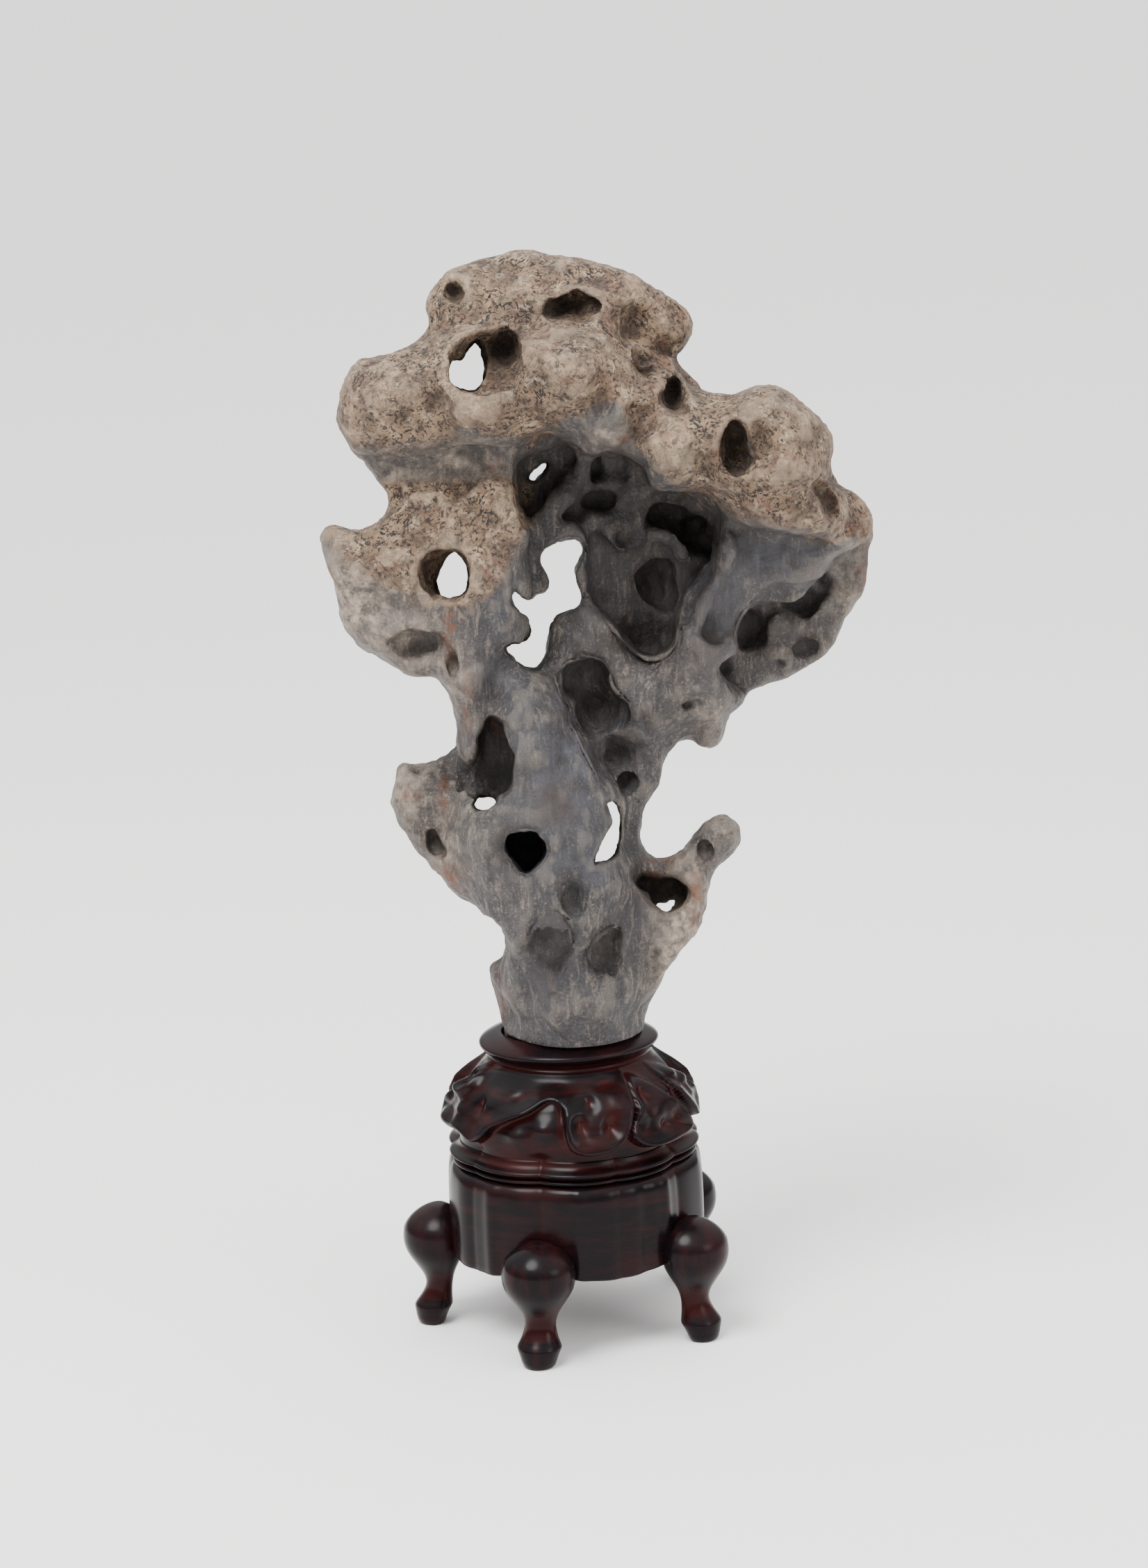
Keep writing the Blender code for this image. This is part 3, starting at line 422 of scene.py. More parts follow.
def smoothLoop(points):
    # A closed curve through the points.
    steps = 3
    count = len(points)
    made = []
    for i in range(count):
        p0, p1, p2, p3 = (Vector(points[(i + k) % count]) for k in (-1, 0, 1, 2))
        for step in range(steps):
            t = step / steps
            made.append(0.5 * (2 * p1 + (p2 - p0) * t + (2 * p0 - 5 * p1 + 4 * p2 - p3) * t * t
                               + (3 * p1 - p0 - 3 * p2 + p3) * t ** 3))
    return made


def sightPrism(name, points, front, back, taper=1.0):
    # A flat outline, extruded away from the eye and grown so that its sides follow the sight lines.
    mesh = bpy.data.meshes.new(name)
    loop = [seen(p.x, p.y, front) for p in smoothLoop(points)]
    mesh.from_pydata(loop, [], [range(len(loop))])
    made = bpy.data.objects.new(name, mesh)
    bpy.context.scene.collection.objects.link(made)
    pick(made)
    bpy.ops.object.mode_set(mode="EDIT")
    bpy.ops.mesh.select_all(action="SELECT")
    bpy.ops.mesh.extrude_region_move()
    eye = eyeFrame()[1]
    grow = (eye.y + back) / (eye.y + front)
    bpy.ops.transform.resize(value=(grow, grow, grow), center_override=eyePlace())
    far = sum(loop, Vector()) / len(loop)
    middle = eyePlace() + (far - eyePlace()) * grow
    bpy.ops.transform.resize(value=(taper, 1, taper), center_override=middle)
    bpy.ops.mesh.select_all(action="SELECT")
    bpy.ops.mesh.normals_make_consistent(inside=False)
    bpy.ops.mesh.quads_convert_to_tris()
    bpy.ops.object.mode_set(mode="OBJECT")
    return made


def addBall(centre, halves, turn, detail):
    bpy.ops.mesh.primitive_ico_sphere_add(
        subdivisions=detail, radius=1.0, location=centre, rotation=(0, math.radians(-turn), 0),
        scale=(halves[0] * mm, halves[2] * mm, halves[1] * mm))
    made = bpy.context.object
    bpy.ops.object.transform_apply(location=True, rotation=True, scale=True)
    return made


def joinAll(name, things):
    allOff()
    for thing in things:
        thing.select_set(True)
    bpy.context.view_layer.objects.active = things[0]
    bpy.ops.object.join()
    things[0].name = name
    return things[0]


def boolean(thing, tool, how="DIFFERENCE"):
    applyModifier(thing, "BOOLEAN", operation=how, solver="MANIFOLD", object=tool)
    bpy.data.objects.remove(tool, do_unlink=True)


def voxelRemesh(thing, size):
    applyModifier(thing, "REMESH", mode="VOXEL", voxel_size=size * mm)


def soften(thing, times):
    applyModifier(thing, "SMOOTH", factor=0.5, iterations=times)


def rockCore():
    allOff()
    balls = []
    for across, up, toward, wide, high, deep, turn in rock["masses"]:
        balls.append(addBall(seen(across, up, toward), (wide, high, deep), turn, 4))
    balls.append(sightPrism("spineTool", rock["outline"], rock["spineFront"], rock["spineBack"]))
    made = joinAll("rock_piece", balls)
    voxelRemesh(made, rock["roughVoxel"])
    reach = rock["outlineReach"]
    boolean(made, sightPrism("outlineTool", rock["outline"], reach, -reach), "INTERSECT")
    voxelRemesh(made, rock["formVoxel"])
    soften(made, rock["softForm"])
    print("rock: masses joined", len(made.data.vertices))
    return made


def hollowTools(made):
    tree = BVHTree.FromObject(made, bpy.context.evaluated_depsgraph_get())
    balls = []
    for across, up, wide, high, deep, turn in rock["hollows"]:
        start, end = seen(across, up, 200), seen(across, up, -200)
        hit = tree.ray_cast(start, (end - start).normalized())[0]
        if hit is not None:
            balls.append(addBall(hit, (wide, high, deep), turn, 4))
    draw = random.Random(rock["backHollowDraw"])
    for _ in range(rock["backHollows"]):
        bearing = math.radians(draw.uniform(*rock["backBearings"]))
        height = draw.uniform(*rock["backHeights"]) * mm
        start = standAxis + Vector((0.4 * math.sin(bearing), -0.4 * math.cos(bearing), height))
        aim = standAxis + Vector((0.02, 0, height))
        hit = tree.ray_cast(start, (aim - start).normalized())[0]
        if hit is not None:
            wide = draw.uniform(*rock["backWidths"])
            halves = (wide, wide * draw.uniform(0.6, 1.3), wide * draw.uniform(0.6, 1.0))
            balls.append(addBall(hit, halves, draw.uniform(-40, 40), 4))
    tool = joinAll("hollowTool", balls)
    voxelRemesh(tool, rock["toolVoxel"])
    places = pointsOf(tool.data)
    ragged = 2.2 * noiseMap(places, 9.0, 7.0) + 1.0 * noiseMap(places, 4.5, 9.0)
    putPoints(tool.data, places + normalsOf(tool.data) * (ragged * mm)[:, None])
    return tool


def pressDents(made):
    # Soft forms pushed in, or out, along the line of sight on the side that faces the viewer.
    mesh = made.data
    places, normals = pointsOf(mesh), normalsOf(mesh)
    across, up = asSeen(places)
    line = places - np.array(eyePlace())
    line /= np.linalg.norm(line, axis=1)[:, None]
    facing = smoothStep(-np.einsum("ij,ij->i", line, normals), 0.0, 0.5)
    toward = (standAxis.y - places[:, 1]) / mm
    facing *= smoothStep(toward, -16, 4)
    deep = np.zeros(len(places))
    for x, y, wide, high, amount, turn in rock["dents"]:
        c, k = math.cos(math.radians(turn)), math.sin(math.radians(turn))
        dx, dy = across - x, up - y
        deep += amount * np.exp(-((dx * c + dy * k) / wide) ** 2 - ((dy * c - dx * k) / high) ** 2)
    putPoints(mesh, places + line * (rock["dentPush"] * deep * facing * mm)[:, None])


def addRidges(made):
    balls = [made]
    for radius, line in rock["ridges"]:
        for start, end in zip(line, line[1:]):
            for step in range(rock["ridgeSteps"]):
                place = Vector(start).lerp(Vector(end), step / rock["ridgeSteps"])
                balls.append(addBall(seen(*place), (radius, radius, radius), 0, 2))
    return joinAll("rock_piece", balls)


def keepLargest(thing):
    # Crumbs that the cuts leave behind are dropped.
    pick(thing)
    bpy.ops.object.mode_set(mode="EDIT")
    bpy.ops.mesh.select_all(action="SELECT")
    bpy.ops.mesh.separate(type="LOOSE")
    bpy.ops.object.mode_set(mode="OBJECT")
    parts = sorted(bpy.context.selected_objects, key=lambda item: len(item.data.vertices))
    for crumb in parts[:-1]:
        bpy.data.objects.remove(crumb, do_unlink=True)
    parts[-1].name = "rock_piece"
    return parts[-1]


def seatTool():
    # All that stands under the lip's rim, but for the foot in its socket.
    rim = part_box("stand_top")[1][2] + rock["seatGap"] * mm
    allOff()
    bpy.ops.mesh.primitive_cube_add(size=0.4, location=(standAxis.x, standAxis.y, rim - 0.2))
    block = bpy.context.object
    bpy.ops.object.transform_apply(location=True, rotation=True, scale=True)
    bpy.ops.mesh.primitive_cylinder_add(vertices=64, radius=1.0, depth=0.6,
                                        location=(standAxis.x, standAxis.y, rim))
    plug = bpy.context.object
    plug.scale = (rock["plugHalfWidth"] * mm, rock["plugHalfDepth"] * mm, 1.0)
    bpy.ops.object.transform_apply(location=True, rotation=True, scale=True)
    boolean(block, plug)
    return block


def footTool():
    # The socket's floor stops the foot.
    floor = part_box("stone")[0][2]
    bpy.ops.mesh.primitive_cube_add(size=0.4, location=(standAxis.x, standAxis.y, floor - 0.2))
    block = bpy.context.object
    bpy.ops.object.transform_apply(location=True, rotation=True, scale=True)
    return block


def stainMap(across, up, spots, rough):
    # Soft patches with ragged edges.
    made = np.zeros(len(across))
    for x, y, wide, high, strength in spots:
        away = ((across - x) / wide) ** 2 + ((up - y) / high) ** 2
        made = np.maximum(made, strength * np.exp(-away * 0.9))
    return np.clip(made * (1 + 0.9 * rough), 0, 1)


def cellRidges(places, size, stretch=1.0):
    # Nought inside a worn cell, one on the thin ridge between two cells.
    made = np.empty(len(places))
    for i, place in enumerate(places):
        at = Vector((place[0], place[1], place[2] / stretch)) / (size * mm)
        at += 0.35 * noise.noise_vector(at * 1.3)
        near = noise.voronoi(at)[0]
        made[i] = math.exp(-(((near[1] - near[0]) / 0.3) ** 2))
    return made


def rockMaps(made):
    places = pointsOf(made.data)
    across, up = asSeen(places)
    broad = noiseMap(places, 14)
    fine = noiseMap(places, 4.5, 3.0)
    rough = 0.6 * broad + 0.6 * fine
    cap = np.interp(across, *np.array(rock["capEdge"]).T)
    wing = np.interp(across, *np.array(rock["wingEdge"]).T)
    tan = smoothStep(up - cap + 7 * rough, -3.5, 4)
    onWing = smoothStep(up - wing + 9 * rough, -5, 5) * smoothStep(408 - up, 0, 6)
    onWing *= smoothStep(-20 - across, -4, 6)
    tan = np.maximum(tan, onWing)
    print("rock: mapped", len(places))
    return across, up, tan, rough


def weather(made, up, tan):
    # Worn lumps, cells between ridges and grit, moved in and out along the surface.
    mesh = made.data
    places, normals = pointsOf(mesh), normalsOf(mesh)
    lump = 1.7 * noiseMap(places, 17) + 1.1 * noiseMap(places, 8, 2.0) + 0.45 * noiseMap(places, 4.2, 8.0)
    cells = cellRidges(places, 17.0)
    small = cellRidges(places + 0.05, 9.0, 1.6)
    grit = noiseMap(places, 2.6, 5.0)
    patchy = smoothStep(noiseMap(places, 30, 4.0), -0.25, 0.35)
    below = smoothStep(up, 300, 330)
    streak = np.array([noise.noise(Vector((p[0] / 3.2, p[1] / 3.2, p[2] / 18)) / mm) for p in places])
    grey = 1 - tan
    move = lump + grey * patchy * (0.8 * cells - 0.25) * (0.3 + 0.7 * below)
    move += grey * 0.3 * (small - 0.3) * below
    move += grey * (1 - below) * 0.6 * streak + tan * 0.4 * grit + grey * 0.1 * grit
    foot = smoothStep(places[:, 2], 138 * mm, 150 * mm)
    putPoints(mesh, places + normals * (move * (0.25 + 0.75 * foot) * mm)[:, None])
    print("rock: weathered", len(places))


def makeRock():
    made = rockCore()
    for name, (floor, points) in rock["recesses"].items():
        boolean(made, sightPrism(name + "Tool", points, rock["recessReach"], floor, rock["recessTaper"]))
    voxelRemesh(made, rock["carveVoxel"])
    soften(made, rock["softCarve"])
    made = addRidges(made)
    voxelRemesh(made, rock["carveVoxel"])
    soften(made, rock["softRidge"])
    boolean(made, hollowTools(made))
    reach = rock["windowReach"]
    for name, points in rock["windows"].items():
        boolean(made, sightPrism(name + "Tool", points, reach, -reach))
    print("rock: cut", len(made.data.polygons))
    voxelRemesh(made, rock["fineVoxel"])
    soften(made, rock["softCarve"])
    pressDents(made)
    made = keepLargest(made)
    triangles = sum(len(face.vertices) - 2 for face in made.data.polygons)
    if triangles > rock["mostTriangles"]:
        applyModifier(made, "TRIANGULATE")
        applyModifier(made, "DECIMATE", ratio=rock["mostTriangles"] / triangles)
    _, up, tan, _ = rockMaps(made)
    weather(made, up, tan)
    boolean(made, seatTool())
    boolean(made, footTool())
    made = keepLargest(made)
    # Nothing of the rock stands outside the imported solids' box.
    low, high = (np.array(corner) for corner in cadBox)
    inside = rock["insideBox"] * mm
    putPoints(made.data, np.clip(pointsOf(made.data), low + inside, high - inside))
    pick(made)
    bpy.ops.object.shade_smooth()
    mesh = made.data
    across, up, tan, rough = rockMaps(made)
    keepMap(mesh, "tanMap", tan)
    for name in ("rust", "umberAndShade", "slate", "darkToneAndShade", "cream"):
        keepMap(mesh, name + "Map", stainMap(across, up, rock[name], rough))
    # Depth within the broad hollows, which the material turns into painted shade.
    keepMap(mesh, "pitMap", np.clip(hollowness(mesh, 60) / 5.0, -1, 1))
    # Fine curvature, from which the material paints a highlight on ridges and shade in creases.
    keepMap(mesh, "edgeMap", np.clip(hollowness(mesh, 8) / 0.9, -1, 1))
    print("rock: done", len(mesh.polygons))
    return made


limestone = {
    "maps": ("tan", "pit", "edge", "rust", "umberAndShade", "slate", "darkToneAndShade", "cream"),
    # Noise: size in mm, detail, roughness, stretch, how far it is drawn about.
    "clouds": {
        "broad": (26, 6.0, 0.62, None, 0.0),
        "veins": (2.6, 6.0, 0.68, (1.0, 1.0, 0.2), 0.6),
        "grain": (1.2, 4.0, 0.75, None, 0.0),
        "slateCloud": (9, 5.0, 0.6, None, 0.0),
        "creamCloud": (5, 6.0, 0.7, None, 0.0),
        "tanCloud": (12, 6.0, 0.65, None, 0.0),
        "tanPatch": (5.5, 4.0, 0.6, None, 0.5),
        "tanBlush": (19, 3.0, 0.5, None, 0.0),
        "tanMottle": (4.0, 4.0, 0.65, None, 0.0),
        "stroke": (4.4, 2.0, 0.5, (1.0, 1.0, 0.8), 1.2),
        "strokeBreak": (2.6, 2.0, 0.5, None, 0.0),
        "strokeCrowd": (24, 3.0, 0.5, None, 0.0),
        "dot": (1.7, 2.0, 0.5, None, 0.0),
        "darkToneAndShadeCloud": (7, 5.0, 0.6, None, 0.0),
        "rustBreak": (6, 5.0, 0.65, None, 0.0),
        "rustCloud": (3, 4.0, 0.6, None, 0.0),
        "dullCloud": (7, 4.0, 0.6, None, 0.0),
        # Pores and grit of 0.6 to 2 mm, deepest on the cap.
        "pores": (1.8, 6.0, 0.7, None, 0.0),
    },
    # Worked out in this order: a range is source, from low, from high, to low, to high.
    "numbers": {
        # Grey body: cloudy, streaked downwards in its lower half.
        "veinsPale": ("RANGE", "veins", 0.5, 0.66, 0.0, 0.6),
        "veinsDark": ("RANGE", "veins", 0.5, 0.32, 0.0, 0.7),
        "grainDark": ("RANGE", "grain", 0.45, 0.66, 0.0, 0.5),
        "grainPale": ("RANGE", "grain", 0.45, 0.32, 0.0, 0.45),
        "slatePart": ("MULTIPLY", "slate", 0.75),
        "creamPart": ("MULTIPLY", "cream", 0.62),
        # Painted highlight on the grey's ridges, held back where the darkest tone and its painted shade
        # lie; painted shade in its creases.
        "lit": ("SUBTRACT", 1.0, "darkToneAndShade"),
        "ridgeSheen": ("RANGE", "edge", -0.4, -1.0, 0.0, 0.22),
        "ridgeSheenLit": ("MULTIPLY", "ridgeSheen", "lit"),
        "creaseShade": ("RANGE", "edge", 0.2, 1.0, 0.0, 0.45),
        # Tan cap: warm, mottled, flecked with short dark strokes.
        "patch": ("RANGE", "tanPatch", 0.5, 0.68, 0.0, 0.55),
        "blush": ("RANGE", "tanBlush", 0.52, 0.66, 0.0, 0.4),
        "mottle": ("RANGE", "tanMottle", 0.48, 0.34, 0.0, 0.7),
        "offStroke": ("SUBTRACT", "stroke", 0.5),
        "away": ("ABSOLUTE", "offStroke", 0.0),
        "thin": ("RANGE", "away", 0.05, 0.018, 0.0, 1.0),
        "broken": ("RANGE", "strokeBreak", 0.44, 0.5, 0.0, 1.0),
        "crowd": ("RANGE", "strokeCrowd", 0.36, 0.58, 0.35, 1.0),
        "thinBroken": ("MULTIPLY", "thin", "broken"),
        "flecks": ("MULTIPLY", "thinBroken", "crowd"),
        "dots": ("RANGE", "dot", 0.57, 0.63, 0.0, 0.9),
        # Painted highlight on the tan's ridges, painted shade in its creases.
        "tanRidgeSheen": ("RANGE", "edge", -0.3, -1.0, 0.0, 0.4),
        "tanCreaseShade": ("RANGE", "edge", 0.25, 1.0, 0.0, 0.5),
        # Stains over both; the darker brown and the darkest tone are partly painted shade, and the hollows
        # get painted shade.
        # Darker brown in the hollows, partly painted shade.
        "umberAndShadePart": ("MULTIPLY", "umberAndShade", 0.65),
        # The darkest tone, partly painted shade under the cap and in recesses.
        "darkToneAndShadePart": ("MULTIPLY", "darkToneAndShade", 0.8),
        # Painted shade in the hollows.
        "pitShade": ("RANGE", "pit", 0.2, 1.2, 0.0, 0.35),
        "rustPart": ("MULTIPLY", "rust", 0.8),
        "rustSpots": ("RANGE", "rustBreak", 0.38, 0.58, 0.0, 1.0),
        "rusty": ("MULTIPLY", "rustPart", "rustSpots"),
        # Roughness, then height.
        "dull": ("RANGE", "dullCloud", 0.3, 0.7, 0.5, 0.68),
        "tanDull": ("MULTIPLY", "tan", 0.1),
        "roughness": ("ADD", "dull", "tanDull"),
        "tanGrit": ("MULTIPLY", "tan", 0.6),
        "gritty": ("ADD", "tanGrit", 0.5),
        "grit": ("MULTIPLY", "pores", "gritty"),
        "tanFleck": ("MULTIPLY", "tan", 0.4),
        "fleckDepth": ("MULTIPLY", "flecks", "tanFleck"),
        "pitted": ("SUBTRACT", "grit", "fleckDepth"),
        "veinHeight": ("MULTIPLY", "veins", 0.35),
        "height": ("ADD", "pitted", "veinHeight"),
    },
    "ramps": {
        "grey": ("broad", [(0.3, "#1b1a1b"), (0.72, "#4c4641"), (0.45, "#2b292a"), (0.58, "#383433")]),
        "slateColour": ("slateCloud", [(0.35, "#17181d"), (0.65, "#3a3c45")]),
        "creamColour": ("creamCloud", [(0.38, "#453b33"), (0.62, "#b8a793"), (0.5, "#8a7b6c")]),
        "warm": ("tanCloud", [(0.32, "#45372b"), (0.68, "#957a5f"), (0.5, "#705a46")]),
        "darkToneAndShadeColour": ("darkToneAndShadeCloud", [(0.35, "#1a181a"), (0.65, "#37312c")]),
        "rustColour": ("rustCloud", [(0.35, "#351604"), (0.65, "#713807")]),
    },
    # Laid over one another in this order: onto what, how much, which colour.
    "layers": [
        ("grey", "veinsPale", "#7d7166"), ("grey", "veinsDark", "#131316"),
        ("grey", "grainDark", "#121111"), ("grey", "grainPale", "#8f8377"),
        ("grey", "slatePart", "slateColour"), ("grey", "creamPart", "creamColour"),
        # Painted highlight on ridges and painted shade in creases.
        ("grey", "ridgeSheenLit", "#7d7367"), ("grey", "creaseShade", "#171514"),
        ("warm", "patch", "#bba68d"), ("warm", "blush", "#704a38"), ("warm", "mottle", "#2e241d"),
        ("warm", "flecks", "#0f0d0c"), ("warm", "dots", "#1d1815"),
        # Painted highlight and painted shade on the tan's ridges and creases.
        ("warm", "tanRidgeSheen", "#a8937b"), ("warm", "tanCreaseShade", "#30251d"),
        # The tan cap, then the darker brown and the darkest tone, both partly painted shade, painted shade
        # in the hollows, and rust.
        ("grey", "tan", "warm"), ("grey", "umberAndShadePart", "#2c2019"), ("grey", "darkToneAndShadePart", "darkToneAndShadeColour"),
        ("grey", "pitShade", "#2a231f"), ("grey", "rusty", "rustColour")],
    "bumpDepth": 1.6,
}


def rockMaterial():
    # Weathered limestone, water-worn: dull and slightly waxy, tan and flecked where it was
    # exposed, smooth slate grey where it was undercut, with iron stains along its edges.
    # Its colour also carries painted shade under the cap, in the hollows and in creases, and a painted
    # highlight on ridges.
    made, tree, shader = newMaterial("weatheredLimestone")
    where = addNode(tree, "ShaderNodeTexCoord").outputs["Object"]
    field = {}
    for name in limestone["maps"]:
        field[name] = addNode(tree, "ShaderNodeAttribute", attribute_name=name + "Map").outputs["Fac"]
    for name, (size, detail, rough, stretch, drawn) in limestone["clouds"].items():
        at = where
        if stretch:
            at = addNode(tree, "ShaderNodeMapping", [(where, "Vector")],
                         {"Scale": stretch, "Rotation": (0.0, 0.2, 0.0)}).outputs["Vector"]
        field[name] = addNode(tree, "ShaderNodeTexNoise", [(at, "Vector")],
                              {"Scale": 1000 / size, "Detail": detail, "Roughness": rough,
                               "Distortion": drawn}).outputs["Fac"]
    for name, (how, *values) in limestone["numbers"].items():
        if how == "RANGE":
            source, low, high, least, most = values
            field[name] = addNode(tree, "ShaderNodeMapRange", [(field[source], "Value")],
                                  {"From Min": low, "From Max": high, "To Min": least, "To Max": most},
                                  interpolation_type="SMOOTHSTEP").outputs["Result"]
        else:
            links = [(field[value], i) for i, value in enumerate(values) if value in field]
            sockets = {i: value for i, value in enumerate(values) if value not in field}
            field[name] = addNode(tree, "ShaderNodeMath", links, sockets, operation=how).outputs["Value"]
    for name, (source, stops) in limestone["ramps"].items():
        field[name] = addNode(tree, "ShaderNodeValToRGB", [(field[source], "Fac")],
                              stops=stops).outputs["Color"]
    for onto, amount, colour in limestone["layers"]:
        links, sockets = [(field[amount], 0), (field[onto], 6)], {}
        if colour in field:
            links.append((field[colour], 7))
        else:
            sockets[7] = shade(colour)
        field[onto] = addNode(tree, "ShaderNodeMix", links, sockets, data_type="RGBA").outputs[2]
    bump = addNode(tree, "ShaderNodeBump", [(field["height"], "Height")],
                   {"Strength": 1.0, "Distance": limestone["bumpDepth"] * mm})
    tree.links.new(field["grey"], shader.inputs["Base Color"])
    tree.links.new(field["roughness"], shader.inputs["Roughness"])
    tree.links.new(bump.outputs["Normal"], shader.inputs["Normal"])
    return made


def dressRock():
    made = makeRock()
    made.data.materials.clear()
    made.data.materials.append(rockMaterial())
    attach(made, "root")
    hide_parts("stone")


# The wood
def woodMaterial(name, stretch):
    # Dark rosewood, rubbed with lacquer: nearly black, a red glow in the grain, soft wide gloss.
    made, tree, shader = newMaterial(name)
    where = addNode(tree, "ShaderNodeTexCoord").outputs["Object"]
    along = addNode(tree, "ShaderNodeMapping", [(where, "Vector")], {"Scale": stretch}).outputs["Vector"]
    grain = addNode(tree, "ShaderNodeTexNoise", [(along, "Vector")],
                    {"Scale": 1000 / 9.0, "Detail": 7.0, "Roughness": 0.65, "Distortion": 0.15})
    pores = addNode(tree, "ShaderNodeTexNoise", [(along, "Vector")],
                    {"Scale": 1000 / 2.2, "Detail": 3.0, "Roughness": 0.6})
    cloud = addNode(tree, "ShaderNodeTexNoise", [(where, "Vector")],
                    {"Scale": 1000 / 26, "Detail": 3.0, "Roughness": 0.5})
    body = addNode(tree, "ShaderNodeValToRGB", [(grain.outputs["Fac"], "Fac")],
                   stops=[(0.35, "#060405"), (0.66, "#240a09"), (0.5, "#0d0608")])
    glow = addNode(tree, "ShaderNodeMapRange", [(cloud.outputs["Fac"], "Value")],
                   {"From Min": 0.48, "From Max": 0.68, "To Min": 0.0, "To Max": 0.6})
    warm = addNode(tree, "ShaderNodeMix", [(glow.outputs["Result"], 0), (body.outputs["Color"], 6)],
                   {7: shade("#2b0b0a")}, data_type="RGBA")
    fine = addNode(tree, "ShaderNodeMapRange", [(pores.outputs["Fac"], "Value")],
                   {"From Min": 0.55, "From Max": 0.7, "To Min": 0.0, "To Max": 0.55})
    colour = addNode(tree, "ShaderNodeMix", [(fine.outputs["Result"], 0), (warm.outputs[2], 6)],
                     {7: shade("#040303")}, data_type="RGBA")
    hollow = addNode(tree, "ShaderNodeAttribute", attribute_name="pitMap").outputs["Fac"]
    deep = addNode(tree, "ShaderNodeMapRange", [(hollow, "Value")],
                   {"From Min": 0.2, "From Max": 1.0, "To Min": 0.0, "To Max": 0.42})
    # Greyer on the ridges: a painted sheen.
    ridgeSheen = addNode(tree, "ShaderNodeMapRange", [(hollow, "Value")],
                   {"From Min": -0.2, "From Max": -0.9, "To Min": 0.0, "To Max": 0.35})
    colour = addNode(tree, "ShaderNodeMix", [(deep.outputs["Result"], 0), (colour.outputs[2], 6)],
                     {7: shade("#310906")}, data_type="RGBA")
    colour = addNode(tree, "ShaderNodeMix", [(ridgeSheen.outputs["Result"], 0), (colour.outputs[2], 6)],
                     {7: shade("#100b0f")}, data_type="RGBA")
    tree.links.new(colour.outputs[2], shader.inputs["Base Color"])
    rough = addNode(tree, "ShaderNodeMapRange", [(cloud.outputs["Fac"], "Value")],
                    {"From Min": 0.35, "From Max": 0.65, "To Min": 0.2, "To Max": 0.32})
    tree.links.new(rough.outputs["Result"], shader.inputs["Roughness"])
    bump = addNode(tree, "ShaderNodeBump", [(pores.outputs["Fac"], "Height")],
                   {"Strength": 0.06, "Distance": 0.2 * mm})
    tree.links.new(bump.outputs["Normal"], shader.inputs["Normal"])
    shader.inputs["IOR"].default_value = 1.5
    shader.inputs["Specular IOR Level"].default_value = 0.1
    return made


